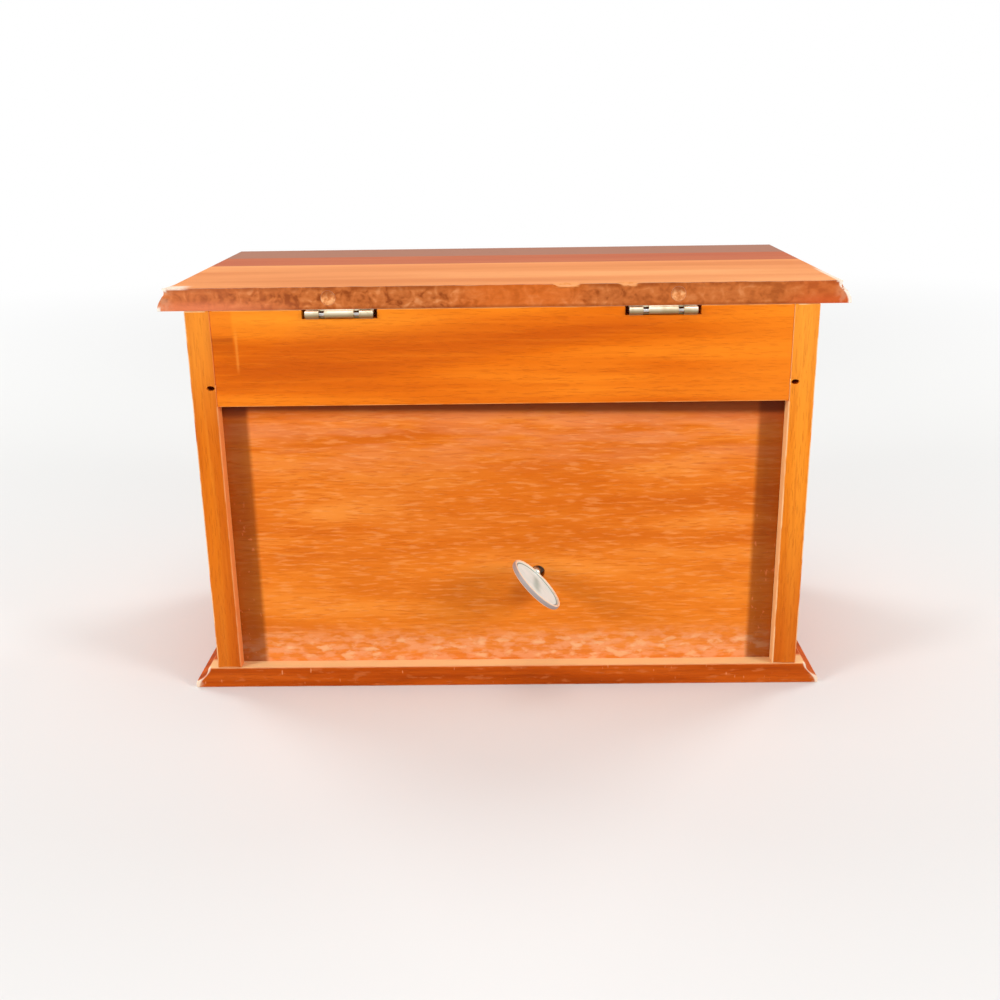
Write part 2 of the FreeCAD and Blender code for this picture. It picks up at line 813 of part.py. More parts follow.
def ratchet():
    """The saw-toothed wheel on the arbor, under the barrel gear."""
    points = []
    step = 2 * math.pi / ratchet_teeth
    for tooth in range(ratchet_teeth):
        angle = tooth * step
        for radius, turn in ((ratchet_radius, angle),
                             (ratchet_radius - ratchet_depth, angle + step * ratchet_back)):
            points.append(at(radius * math.cos(turn), radius * math.sin(turn), ratchet_height))
    return outline_face(points).extrude(Vector(0, -ratchet_thickness, 0))


def click_spring():
    """The spring that holds the ratchet: a post on the bedplate and a springy arm with a nose."""
    foot = ratchet_height
    half = click_arm_thickness / 2
    nose = -(ratchet_radius + stop_clearance)
    post = upright(click_post_radius, click_post_place, 0, plate_thickness, foot + ratchet_thickness)
    arm = outline_face([at(click_post_place - half, 0, foot), at(click_post_place + half, 0, foot),
                        at(nose, click_arm_rise - half, foot), at(nose, click_arm_rise + half, foot),
                        at(nose - click_arm_thickness, click_arm_rise + half, foot)])
    return fused([post, arm.extrude(Vector(0, -ratchet_thickness, 0))])


def barrel_gear():
    """The barrel's cover, with teeth that stand up round its rim and drive the cylinder's pinion."""
    half_face = barrel_face / 2
    plate = upright(barrel_gear_radius + half_face, 0, 0, barrel_gear_height, barrel_gear_top)
    plate = plate.cut(upright(arbor_radius + running_clearance, 0, 0, barrel_gear_height, barrel_gear_top))
    pitch = math.pi * barrel_module
    slant = barrel_module * math.tan(math.radians(pressure_angle))
    root = pitch / 4 * tooth_slack + slant
    tip = pitch / 4 * tooth_slack - slant
    start = barrel_gear_radius - half_face
    low = barrel_gear_top - glue_gap
    high = barrel_gear_top + barrel_module * crown_tooth_height
    tooth = outline_face([at(start, -root, low), at(start, root, low), at(start, tip, high),
                          at(start, -tip, high)]).extrude(Vector(barrel_face - screw_fit * 2, 0, 0))
    centre = Vector(*at(0, 0, 0))
    teeth = []
    for index in range(barrel_gear_teeth):
        copy = tooth.copy()
        copy.rotate(centre, Vector(0, 1, 0), (index + 0.5) * 360 / barrel_gear_teeth)
        teeth.append(copy)
    return plate.multiFuse(teeth)


def spring_barrel():
    """A drawn cup that holds the mainspring, with its open end on the barrel gear."""
    top = barrel_height
    inner = barrel_radius - barrel_wall
    bore = arbor_radius + running_clearance
    outline = [(0, barrel_radius), (top - barrel_round, barrel_radius),
               (top, barrel_radius - barrel_round), (top, bore), (top - barrel_wall, bore),
               (top - barrel_wall, inner), (0, inner)]
    return turned(outline, at(0, 0, barrel_gear_top), (0, -1, 0))


def mainspring():
    """A flat steel strip wound in half turns, each a little larger than the one before."""
    inner = arbor_hub_radius + stop_clearance * 2
    outer = barrel_radius - barrel_wall - stop_clearance
    growth = (outer - inner - spring_thickness) / (spring_turns * 2)
    low = barrel_gear_top + stop_clearance * 2
    high = barrel_gear_top + barrel_height - barrel_wall - stop_clearance * 2

    def half_turns(start_radius):
        arcs = []
        radius = start_radius
        left = -start_radius
        for index in range(spring_turns * 2):
            sign = 1 if index % 2 == 0 else -1
            near = left if sign > 0 else right
            far = near + sign * 2 * radius
            arcs.append(Part.Arc(Vector(*at(near, 0, low)),
                                 Vector(*at((near + far) / 2, sign * radius, low)),
                                 Vector(*at(far, 0, low))).toShape())
            if sign > 0:
                right = far
            else:
                left = far
            radius += growth
        return arcs, far

    inner_arcs, inner_end = half_turns(inner)
    outer_arcs, outer_end = half_turns(inner + spring_thickness)
    first = Part.LineSegment(Vector(*at(-inner, 0, low)),
                             Vector(*at(-inner - spring_thickness, 0, low))).toShape()
    last = Part.LineSegment(Vector(*at(inner_end, 0, low)), Vector(*at(outer_end, 0, low))).toShape()
    wire = Part.Wire(Part.__sortEdges__(inner_arcs + outer_arcs + [first, last]))
    return Part.Face(wire).extrude(Vector(0, low - high, 0))


def movement_bridge():
    """The steel strap over the barrel that carries the arbor's top bearing."""
    end = bridge_post_place
    wide = bridge_post_radius
    high = bridge_low + bridge_thickness
    strap = block((-wide, -end, bridge_low), (wide, end, high))
    ends = [upright(wide, 0, sign * end, bridge_low, high) for sign in (-1, 1)]
    bridge = fused([strap] + ends)
    bridge = bridge.cut(upright(arbor_top_radius + running_clearance, 0, 0, bridge_low, high))
    for sign in (-1, 1):
        bridge = bridge.cut(upright(machine_screw_radius + screw_fit, 0, sign * end, bridge_low, high))
    return bridge


def gear_face(teeth, module, start, centre_across, centre_up, turn):
    """A toothed outline across the cylinder's direction, at the given place along it."""
    pitch_radius = module * teeth / 2
    half = math.pi / (2 * teeth) * tooth_slack
    points = []
    for tooth in range(teeth):
        middle = 2 * math.pi * tooth / teeth + turn
        flank = [(pitch_radius - tooth_drop * module, half * tooth_foot_spread),
                 (pitch_radius + tooth_rise * module, half * tooth_tip_spread)]
        points += [(radius, middle - spread) for radius, spread in flank]
        points += [(radius, middle + spread) for radius, spread in reversed(flank)]
    return outline_face([at(start, centre_across + radius * math.cos(angle),
                            centre_up + radius * math.sin(angle)) for radius, angle in points])


def pinned_cylinder():
    """The brass tube, closed at one end; the wheel closes the other."""
    bore = cylinder_arbor_radius + glue_gap
    outline = [(0, bore), (0, cylinder_radius), (cylinder_length, cylinder_radius),
               (cylinder_length, cylinder_radius - cylinder_wall),
               (cylinder_wall, cylinder_radius - cylinder_wall),
               (cylinder_wall, bore)]
    return turned(outline, at(cylinder_start, 0, cylinder_height), (1, 0, 0))


def tooth_place(tooth):
    return cylinder_start + comb_margin + (tooth + 0.5) * comb_pitch


def cylinder_pins():
    """The tune: a made-up run of notes, one row of pins round the cylinder under each comb tooth."""
    low = cylinder_radius - pin_seat
    high = cylinder_radius + pin_length
    half = pin_width / 2
    axis_point = Vector(*at(0, 0, cylinder_height))
    pins = []
    for tooth in range(comb_teeth):
        place = tooth_place(tooth)
        for note in range(pins_per_tooth):
            pin = block((place - half, -half, cylinder_height + low),
                        (place + half, half, cylinder_height + high))
            beat = tooth * beats_between_teeth + note * beats_between_notes + tooth * note
            pin.rotate(axis_point, Vector(1, 0, 0), beat % beats_round * 360 / beats_round)
            pins.append(pin)
    return Part.makeCompound(pins)


def cylinder_arbor():
    """The cylinder's arbor, with the pinion that the barrel gear turns cut on its end."""
    start = barrel_gear_radius - barrel_face / 2
    end = train_wall_along + wall_thickness
    shaft = lying(cylinder_arbor_radius, 0, cylinder_height, start, end)
    leaves = gear_face(pinion_teeth, barrel_module, start, 0, cylinder_height, math.pi / 2)
    return fused([shaft, leaves.extrude(Vector(barrel_face, 0, 0))])


def cylinder_wheel():
    wheel = gear_face(wheel_teeth, train_module, wheel_along, 0, cylinder_height, 0)
    wheel = wheel.extrude(Vector(wheel_thickness, 0, 0))
    boss = lying(cylinder_radius - cylinder_wall - glue_gap, 0, cylinder_height,
                 cylinder_end - cylinder_wall,
                 wheel_along)
    whole = fused([wheel, boss])
    return whole.cut(lying(cylinder_arbor_radius + glue_gap, 0, cylinder_height,
                           cylinder_end - cylinder_wall,
                           wheel_along + wheel_thickness))


def idler_wheel():
    """The pinion that the cylinder's wheel turns, and the wheel that turns the governor's worm."""
    pinion = gear_face(idler_pinion_teeth, train_module, wheel_along, idler_across, cylinder_height,
                       math.pi - math.pi / idler_pinion_teeth)
    pinion = pinion.extrude(Vector(wheel_thickness, 0, 0))
    wheel = gear_face(worm_wheel_teeth, worm_wheel_module, worm_wheel_along, idler_across, cylinder_height,
                      0)
    wheel = wheel.extrude(Vector(worm_wheel_thickness, 0, 0))
    shaft = lying(cylinder_arbor_radius, idler_across, cylinder_height, wheel_along,
                  bracket_along + wall_thickness)
    return fused([pinion, wheel, shaft])


def governor_worm():
    """The thin upright arbor with the worm that lets the train run only as fast as the fan allows."""
    length = worm_turns * worm_lead
    start = cylinder_height - length / 2
    core = upright(worm_core_radius, worm_along, worm_across, start - worm_lead, fan_low)
    pivot = upright(governor_arbor_radius, worm_along, worm_across, plate_thickness / 2,
                    fan_high + fan_clearance + bridge_thickness)
    helix = Part.makeHelix(worm_lead, length, worm_core_radius)
    root = worm_lead / 4 * tooth_slack * thread_foot_spread
    tip = worm_lead / 4 * tooth_slack * thread_tip_spread
    depth = worm_core_radius - thread_sink
    outer = worm_pitch_radius + tooth_rise * worm_wheel_module
    section = Part.makePolygon([Vector(depth, 0, -root), Vector(outer, 0, -tip), Vector(outer, 0, tip),
                                Vector(depth, 0, root), Vector(depth, 0, -root)])
    thread = Part.Wire(helix).makePipeShell([section], True, True)
    # The thread's gap, not its crest, faces the wheel's middle tooth, however many turns it has.
    thread.rotate(Vector(0, 0, 0), Vector(0, 0, 1), thread_turn - 180 * worm_turns)
    thread.rotate(Vector(0, 0, 0), Vector(1, 0, 0), 90)
    thread.translate(Vector(*at(worm_along, worm_across, start)))
    return fused([core, pivot, thread])


def governor_fan():
    """Two vanes on a hub, pressed on the worm's arbor."""
    hub = upright(fan_hub_radius, worm_along, worm_across, fan_low, fan_high)
    vane = block((worm_along - fan_radius, worm_across - fan_thickness / 2, fan_low),
                 (worm_along + fan_radius, worm_across + fan_thickness / 2, fan_high))
    fan = fused([hub, vane])
    return fan.cut(upright(governor_arbor_radius + glue_gap, worm_along, worm_across, fan_low, fan_high))


def bracket_screw_place():
    inside = worm_across - fan_radius - fan_clearance
    return ((bracket_along + plate_right) / 2, inside - bracket_width / 2)


def governor_bracket():
    """A bent strip: a foot, a cheek for the idler's bearing, and an arm over the fan."""
    cheek_end = bracket_along + wall_thickness
    inside = worm_across - fan_radius - fan_clearance
    outside = inside - bracket_width
    foot_end = plate_right - wall_thickness
    foot_top = plate_thickness + wall_thickness
    arm_low = fan_high + fan_clearance
    arm_high = arm_low + bridge_thickness
    cheek = block((bracket_along, outside, plate_thickness),
                  (cheek_end, idler_across + bearing_margin, fan_low - fan_clearance))
    mast = block((bracket_along, outside, plate_thickness), (cheek_end, inside, arm_high))
    foot = block((bracket_along, outside, plate_thickness), (foot_end, inside, foot_top))
    arm = block((worm_along - bracket_arm_half, outside, arm_low),
                (cheek_end, worm_across + bracket_arm_half, arm_high))
    along, across = bracket_screw_place()
    bores = [lying(cylinder_arbor_radius + running_clearance, idler_across, cylinder_height, bracket_along,
                   cheek_end),
             upright(governor_arbor_radius + running_clearance, worm_along, worm_across, arm_low, arm_high),
             upright(machine_screw_radius + screw_fit, along, across, plate_thickness, foot_top)]
    return fused([cheek, mast, foot, arm]).cut(bores[0].multiFuse(bores[1:]))


def comb_screw_places():
    middle = cylinder_start + cylinder_length / 2
    across = (comb_end + comb_tip - comb_longest_tooth) / 2
    return [(middle - cylinder_length / 4, across), (middle + cylinder_length / 4, across)]


def tone_comb():
    """The steel comb. Its teeth shorten towards the high notes, and the long ones carry weights."""
    left = cylinder_start + comb_margin
    points = [at(left - comb_margin, comb_end, comb_low),
              at(left - comb_margin, comb_tip - comb_longest_tooth, comb_low)]
    shortening = (comb_longest_tooth - comb_shortest_tooth) / (comb_teeth - 1)
    for tooth in range(comb_teeth):
        root = comb_tip - comb_longest_tooth + tooth * shortening
        start = left + tooth * comb_pitch + comb_slit / 2
        end = left + (tooth + 1) * comb_pitch - comb_slit / 2
        for along, across in ((start, root), (start, comb_tip), (end, comb_tip), (end, root)):
            points.append(at(along, across, comb_low))
    points.append(at(cylinder_end, comb_tip - comb_shortest_tooth, comb_low))
    points.append(at(cylinder_end, comb_end, comb_low))
    comb = outline_face(points).extrude(Vector(0, -comb_tooth_thickness, 0))
    base = block((left - comb_margin, comb_end, comb_low),
                 (cylinder_end, comb_tip - comb_longest_tooth, comb_low + comb_base_thickness))
    weights = []
    for tooth in range(weighted_teeth):
        middle = tooth_place(tooth)
        half = comb_pitch / 2 - comb_slit
        depth = weight_depth - tooth * weight_lessening
        end = comb_tip - weight_tip_gap
        weights.append(block((middle - half, end - weight_length, comb_low - depth),
                             (middle + half, end, comb_low + comb_tooth_thickness / 2)))
    comb = fused([comb, base] + weights)
    for along, across in comb_screw_places():
        comb = comb.cut(upright(machine_screw_radius + screw_fit, along, across, comb_low,
                                comb_low + comb_base_thickness))
    return comb


def movement_bedplate():
    """The cast bedplate with its posts, bearing walls, comb seat and the guide for the stop rod."""
    high = plate_thickness
    plate = block((plate_left, plate_low, 0), (plate_right, plate_high, high))
    plate = round_edges(plate, plate_corner, lambda e: e.BoundBox.YLength > high / 2)
    window = block((cylinder_start, comb_tip, 0), (cylinder_end, -comb_tip, high))
    plate = plate.cut(window)
    hollow = cylinder_height + cylinder_arbor_radius + wall_thickness * 2
    post_end = cylinder_start - wheel_space
    post_start = post_end - post_thickness
    pieces = [plate]
    pieces.append(block((post_start, -bearing_margin, 0), (post_end, bearing_margin, hollow)))
    pieces.append(block((train_wall_along, -bearing_margin, 0),
                        (train_wall_along + wall_thickness, idler_across + bearing_margin, hollow)))
    pieces.append(block((cylinder_start, comb_end, 0),
                        (cylinder_end, comb_tip - comb_longest_tooth - comb_seat_gap, comb_low)))
    for sign in (-1, 1):
        pieces.append(upright(bridge_post_radius, 0, sign * bridge_post_place, 0, bridge_low))
    pieces.append(upright(lever_post_radius, lever_pivot_along, lever_pivot_across, 0, lever_height))
    guide_start = rod_along - rod_guide_half
    guide_end = rod_along + rod_guide_half
    guide_low = lever_edge_across(guide_end, lever_turn) + stop_clearance
    guide_high = guide_low + rod_guide_thickness
    pieces.append(block((guide_start, plate_high - plate_corner, 0), (guide_end, guide_high, high)))
    pieces.append(block((guide_start, guide_low, 0), (guide_end, guide_high, rod_up + rod_guide_half)))
    bedplate = fused(pieces)
    bores = [upright(arbor_radius + running_clearance, 0, 0, 0, high),
             lying(cylinder_arbor_radius + running_clearance, 0, cylinder_height, post_start,
                   train_wall_along + wall_thickness),
             lying(cylinder_arbor_radius + running_clearance, idler_across, cylinder_height,
                   train_wall_along,
                   train_wall_along + wall_thickness),
             upright(governor_arbor_radius + running_clearance, worm_along, worm_across,
                     plate_thickness / 3, high),
             rod(rod_radius + running_clearance, at(rod_along, guide_low, rod_up),
                 at(rod_along, guide_high, rod_up))]
    for along, across in mounting_places():
        bores.append(upright(wood_screw_radius + screw_fit, along, across, 0, high))
    for (along, across), top in machine_screw_seats():
        bores.append(upright(machine_screw_radius + screw_fit, along, across, top - screw_depth(top), top))
    return bedplate.cut(bores[0].multiFuse(bores[1:]))


def screw_depth(top):
    """How deep a machine screw goes: the bedplate is thinner than its full bite in one place."""
    return min(top, machine_screw_bite)


def machine_screw_seats():
    """Where each machine screw enters the bedplate, and how high that seat is."""
    seats = [((0, sign * bridge_post_place), bridge_low) for sign in (-1, 1)]
    seats += [(place, comb_low) for place in comb_screw_places()]
    seats.append((bracket_screw_place(), plate_thickness))
    seats.append(((lever_pivot_along, lever_pivot_across), lever_height))
    return seats


def machine_screw_grips():
    """What each machine screw holds down, as a thickness, in the order of the seats."""
    return [bridge_thickness, bridge_thickness, comb_base_thickness, comb_base_thickness, wall_thickness,
            lever_thickness + running_clearance * 2]


def cheese_head_screw(along, across, top, grip, radius, bite):
    head = radius * screw_head_spread
    height = radius * screw_head_height
    outline = [(-bite, 0), (-bite, radius), (grip, radius), (grip, head), (grip + height, head),
               (grip + height, 0)]
    return turned(outline, at(along, across, top), (0, -1, 0))


def machine_screws():
    screws = []
    for ((along, across), top), grip in zip(machine_screw_seats(), machine_screw_grips()):
        bite = screw_depth(top) - glue_gap
        screws.append(cheese_head_screw(along, across, top, grip, machine_screw_radius, bite))
    return Part.makeCompound(screws)


def movement_screws():
    """The wood screws that hold the bedplate against the inside of the back panel."""
    bite = wood_screw_bite - glue_gap
    screws = [cheese_head_screw(along, across, 0, plate_thickness, wood_screw_radius, bite)
              for along, across in mounting_places()]
    return Part.makeCompound(screws)


# Stop work: the shut lid keeps the rod down, and the rod keeps the lever's pin beside the fan.

def lever_pin_centre():
    reach = fan_radius + stop_clearance + lever_pin_radius
    angle = math.radians(lever_pin_place)
    return (worm_along + reach * math.cos(angle), worm_across + reach * math.sin(angle))


def lever_edge_across(along, lifted):
    """How high the lever's upper edge lies at a place along it, with the lever lifted by some degrees."""
    end_along, end_across = lever_pin_centre()
    slope = math.atan2(end_across - lever_pivot_across, end_along - lever_pivot_along) + math.radians(lifted)
    middle = lever_pivot_across + math.tan(slope) * (along - lever_pivot_along)
    return middle + lever_width / 2 / math.cos(slope)


def stop_lever():
    end_along, end_across = lever_pin_centre()
    angle = math.atan2(end_across - lever_pivot_across, end_along - lever_pivot_along)
    side_along = -math.sin(angle) * lever_width / 2
    side_across = math.cos(angle) * lever_width / 2
    corners = [(lever_pivot_along + side_along, lever_pivot_across + side_across),
               (end_along + side_along, end_across + side_across),
               (end_along - side_along, end_across - side_across),
               (lever_pivot_along - side_along, lever_pivot_across - side_across)]
    low = lever_height + running_clearance
    high = low + lever_thickness
    arm = outline_face([at(along, across, low) for along, across in corners])
    arm = arm.extrude(Vector(0, low - high, 0))
    hub = upright(lever_hub_radius, lever_pivot_along, lever_pivot_across, low, high)
    tip = upright(lever_width / 2, end_along, end_across, low, high)
    pin = upright(lever_pin_radius, end_along, end_across, low, fan_low + fan_height / 2)
    lever = fused([arm, hub, tip, pin])
    return lever.cut(upright(machine_screw_radius + running_clearance, lever_pivot_along,
                             lever_pivot_across, low, high))


def stop_rod():
    """A straight wire from the lever up through the tray floor, to just under the lid."""
    low = at(rod_along, lever_edge_across(rod_along + rod_radius, 0) + stop_clearance, rod_up)
    return rod(rod_radius, low, (low[0], low[1], case_top - rod_lid_gap))


# Everything is made and written here, from the base up.

save("base_board", base_board())
save("left_side_board", side_board(-1))
save("right_side_board", side_board(1))
save("upper_back_board", upper_back_board())
save("upper_front_board", upper_front_board())
save("compartment_floor", compartment_floor())
save("back_panel", back_panel())
save("inner_back", inner_back())
save("drawer_shelf", drawer_shelf())
save("compartment_lining", compartment_lining())
save("compartment_partition", compartment_partition())
save("ring_rolls", ring_rolls())
for side_name, side_sign in (("left", -1), ("right", 1)):
    save(side_name + "_hinge_case_leaf", hinge_leaf(side_sign * hinge_half_spacing, -1))
    save(side_name + "_hinge_lid_leaf", hinge_leaf(side_sign * hinge_half_spacing, 1))
save("hinge_pins", hinge_pins())
save("hinge_case_screws", leaf_screws(-1))
save("hinge_lid_screws", leaf_screws(1))
save("lid_board", lid_board())
save("lid_plugs", lid_plugs())
save("lid_mirror", lid_mirror())
save("mirror_surround", mirror_surround())
make_drawer("lower_drawer", base_thickness, shelf_low)
make_drawer("upper_drawer", shelf_low + shelf_thickness, upper_board_low)
save("movement_bedplate", movement_bedplate())
save("movement_screws", movement_screws())
save("machine_screws", machine_screws())
save("movement_bridge", movement_bridge())
save("tone_comb", tone_comb())
save("click_spring", click_spring())
save("governor_bracket", governor_bracket())
save("winding_key", winding_key())
save("winding_arbor", winding_arbor())
save("barrel_gear", barrel_gear())
save("spring_barrel", spring_barrel())
save("mainspring", mainspring())
save("pinned_cylinder", pinned_cylinder())
save("cylinder_pins", cylinder_pins())
save("cylinder_arbor", cylinder_arbor())
save("cylinder_wheel", cylinder_wheel())
save("idler_wheel", idler_wheel())
save("governor_worm", governor_worm())
save("governor_fan", governor_fan())
save("stop_lever", stop_lever())
save("stop_rod", stop_rod())
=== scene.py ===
import json
import math

import bmesh
import bpy
from mathutils import Matrix, Vector, noise


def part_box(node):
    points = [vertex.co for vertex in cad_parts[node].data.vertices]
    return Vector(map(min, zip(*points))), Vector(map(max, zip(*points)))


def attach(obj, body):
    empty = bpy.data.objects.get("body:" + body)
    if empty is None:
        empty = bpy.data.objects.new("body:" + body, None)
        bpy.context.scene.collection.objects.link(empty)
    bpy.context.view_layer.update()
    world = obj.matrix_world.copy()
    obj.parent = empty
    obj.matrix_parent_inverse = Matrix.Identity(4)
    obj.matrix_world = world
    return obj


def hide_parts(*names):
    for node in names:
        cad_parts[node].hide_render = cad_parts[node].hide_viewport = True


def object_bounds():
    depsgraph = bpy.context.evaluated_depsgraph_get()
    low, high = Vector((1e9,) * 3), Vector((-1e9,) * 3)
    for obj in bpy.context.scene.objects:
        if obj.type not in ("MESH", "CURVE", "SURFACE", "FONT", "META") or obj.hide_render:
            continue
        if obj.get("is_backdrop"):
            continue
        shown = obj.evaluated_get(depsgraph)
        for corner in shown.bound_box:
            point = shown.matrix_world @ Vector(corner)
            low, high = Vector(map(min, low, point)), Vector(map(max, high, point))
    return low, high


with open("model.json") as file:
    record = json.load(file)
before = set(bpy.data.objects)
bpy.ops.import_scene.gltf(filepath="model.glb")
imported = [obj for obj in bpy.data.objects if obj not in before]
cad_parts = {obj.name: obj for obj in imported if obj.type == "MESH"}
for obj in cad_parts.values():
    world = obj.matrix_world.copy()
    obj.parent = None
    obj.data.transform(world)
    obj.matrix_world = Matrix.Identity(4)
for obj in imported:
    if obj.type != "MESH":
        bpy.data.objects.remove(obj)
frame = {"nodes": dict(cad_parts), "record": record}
cad_low, cad_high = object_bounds()
nodes = frame["nodes"]
scene = bpy.context.scene
mm = 0.001


# The view. The box stands with its back to the camera, which is a little higher than the lid and looks
# down on it. The place, the tilt and the lens are those whose lines fit the edges of the case.

camera_place = Vector((-4.4, 480.35, 214.3)) * mm
camera_heading = 180.79
camera_pitch = 18.14
camera_roll = -0.84
lens_length = 42.04

view_camera = bpy.data.cameras.new("view")
view_camera.sensor_width = 36.0
view_camera.lens = lens_length
view = bpy.data.objects.new("view", view_camera)
view.matrix_world = (Matrix.Translation(camera_place)
                     @ Matrix.Rotation(math.radians(camera_heading), 4, "Z")
                     @ Matrix.Rotation(math.radians(90 - camera_pitch), 4, "X")
                     @ Matrix.Rotation(math.radians(camera_roll), 4, "Z"))
scene.collection.objects.link(view)
scene.camera = view
scene.view_settings.view_transform = "Standard"


# The studio. A pale floor fades into a white background, and soft boxes stand low at both sides behind
# the box, as they did for the photograph, with weaker ones before it and one above.

def srgb(red, green, blue):
    """A colour as a screen shows it, from 0 to 255."""
    return tuple(((part / 255 + 0.055) / 1.055) ** 2.4 for part in (red, green, blue)) + (1,)


class Signal:
    """A node's output. Sums written with it become Math nodes."""

    def __init__(self, finish, socket):
        self.finish = finish
        self.socket = socket

    def worked(self, operation, first, second=0.0):
        return self.finish.node("ShaderNodeMath", {"operation": operation}, {0: first, 1: second})

    def __add__(self, other):
        return self.worked("ADD", self, other)

    def __radd__(self, other):
        return self.worked("ADD", other, self)

    def __sub__(self, other):
        return self.worked("SUBTRACT", self, other)

    def __rsub__(self, other):
        return self.worked("SUBTRACT", other, self)

    def __mul__(self, other):
        return self.worked("MULTIPLY", self, other)

    def __rmul__(self, other):
        return self.worked("MULTIPLY", other, self)

    def __pow__(self, other):
        return self.worked("POWER", self, other)

    def __abs__(self):
        return self.worked("ABSOLUTE", self)

    def fade(self, start, end):
        """Runs smoothly from 0 to 1 as the value goes from start to end."""
        return self.finish.node("ShaderNodeMapRange", {"interpolation_type": "SMOOTHSTEP"},
                                {"Value": self, "From Min": start, "From Max": end})

    def band(self, start, end, soft):
        """Is 1 from start to end, with soft ends."""
        return self.fade(start - soft, start + soft) * self.fade(end + soft, end - soft)


class Finish:
    """The node tree of a material or a world. Every node in it comes from the method node."""

    def __init__(self, owner):
        self.owner = owner
        owner.use_nodes = True
        self.tree = owner.node_tree
        self.shader = self.tree.nodes.get("Principled BSDF") or self.tree.nodes.get("Background")
        self.place = self.node("ShaderNodeTexCoord", out="Object")

    def node(self, kind, settings=None, sockets=None, out=0):
        made = self.tree.nodes.new(kind)
        for name, value in (settings or {}).items():
            if name == "stops":
                for spare in list(made.color_ramp.elements)[1:]:
                    made.color_ramp.elements.remove(spare)
                made.color_ramp.elements[0].position, made.color_ramp.elements[0].color = value[0]
                for position, colour in value[1:]:
                    made.color_ramp.elements.new(position).color = colour
            else:
                setattr(made, name, value)
        for name, value in (sockets or {}).items():
            self.feed(made.inputs[name], value)
        return Signal(self, made.outputs[out])

    def feed(self, socket, value):
        if isinstance(value, Signal):
            self.tree.links.new(value.socket, socket)
        else:
            socket.default_value = value

    def give(self, **sockets):
        """Sets the shader's sockets; Base_Color stands for Base Color."""
        for name, value in sockets.items():
            self.feed(self.shader.inputs[name.replace("_", " ")], value)

    def vector(self, operation, *inputs, out=1):
        """Vector Math, whose output 1 is a value and output 0 a vector."""
        return self.node("ShaderNodeVectorMath", {"operation": operation}, dict(enumerate(inputs)), out=out)

    def along(self, axis):
        """The place along X, Y or Z, in millimetres."""
        return self.node("ShaderNodeSeparateXYZ", {}, {0: self.place}, out=axis) * (1 / mm)

    def cloud(self, size, detail=2.0, seed=0.0):
        """Noise whose swells measure size, in millimetres along X, Y and Z."""
        closeness = [1 / (part * mm) for part in size]
        spread = self.vector("MULTIPLY_ADD", self.place, closeness, [seed] * 3, out=0)
        return self.node("ShaderNodeTexNoise", {}, {"Vector": spread, "Scale": 1.0, "Detail": detail})

    def mix(self, share, first, second):
        return self.node("ShaderNodeMix", {"data_type": "RGBA"}, {0: share, 6: first, 7: second}, out=2)

    def paint(self, colour):
        """Makes a colour the finish's own."""
        self.colour = colour
        self.give(Base_Color=colour)

    def tint(self, share, *tone):
        """Lays a tone, from 0 to 255, over the finish's own colour."""
        self.paint(self.mix(share, self.colour, srgb(*tone)))

    def bump(self, height, depth):
        """Turns a height from 0 to 1 into a surface that is depth millimetres deep."""
        self.give(Normal=self.node("ShaderNodeBump", {}, {"Strength": 1.0, "Distance": depth * mm,
                                                          "Height": height}))


def lamp(name, azimuth, elevation, distance, size, power):
    """A round soft box that looks at the box; azimuth 0 is behind it, where the camera is."""
    light = bpy.data.lights.new(name, "AREA")
    light.shape = "DISK"
    light.size = size
    light.energy = power
    made = bpy.data.objects.new(name, light)
    turn = math.radians(azimuth)
    rise = math.radians(elevation)
    out = Vector((math.sin(turn) * math.cos(rise), math.cos(turn) * math.cos(rise), math.sin(rise)))
    made.matrix_world = (Matrix.Translation((cad_low + cad_high) / 2 + out * distance)
                         @ out.to_track_quat("Z", "Y").to_matrix().to_4x4())
    scene.collection.objects.link(made)


for side_name, turn in (("left", 1), ("right", -1)):
    lamp("rear_" + side_name, 57 * turn, 20, 1.3, 0.42, 7.2)
for side_name, turn in (("left", 1), ("right", -1)):
    lamp("front_" + side_name, 128 * turn, 32, 1.5, 0.7, 7)
lamp("above", 0, 86, 1.4, 0.9, 5)

ambient_light = 0.34
sky = Finish(bpy.data.worlds.new("studio"))
scene.world = sky.owner
by_camera, by_glossy, by_transmission = [sky.node("ShaderNodeLightPath", out=f"Is {ray} Ray")
                                         for ray in ("Camera", "Glossy", "Transmission")]
mirrored = sky.node("ShaderNodeMath", {"operation": "MAXIMUM"}, {0: by_glossy, 1: by_transmission})
seen = sky.node("ShaderNodeMath", {"operation": "MAXIMUM"}, {0: by_camera, 1: mirrored})
sky.give(Color=(1, 1, 1, 1), Strength=ambient_light + (1 - ambient_light) * seen)

floor_reach = 6.0
floor_form = bmesh.new()
bmesh.ops.create_grid(floor_form, x_segments=1, y_segments=1, size=floor_reach)
floor_mesh = bpy.data.meshes.new("floor")
floor_form.to_mesh(floor_mesh)
floor_form.free()
floor = bpy.data.objects.new("floor", floor_mesh)
scene.collection.objects.link(floor)
floor_finish = Finish(bpy.data.materials.new("floor"))
floor_finish.give(Base_Color=(0.8, 0.8, 0.79, 1), Roughness=0.9, Specular_IOR_Level=0.1)
floor_glow = floor_finish.node("ShaderNodeEmission", {}, {"Color": (1, 1, 1, 1), "Strength": 1.0})
floor_faded = floor_finish.node("ShaderNodeMixShader", {}, {
    0: floor_finish.vector("LENGTH", floor_finish.place).fade(0.45, 1.3),
    1: Signal(floor_finish, floor_finish.shader.outputs[0]), 2: floor_glow})
floor_finish.feed(floor_finish.tree.nodes["Material Output"].inputs["Surface"], floor_faded)
floor_mesh.materials.append(floor_finish.owner)
floor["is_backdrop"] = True


# The case's boards: stained and lacquered solid wood, planed square and glued up, with their arrises
# just taken off. The sides run upright, with the grain up and down; the others run from side to side.

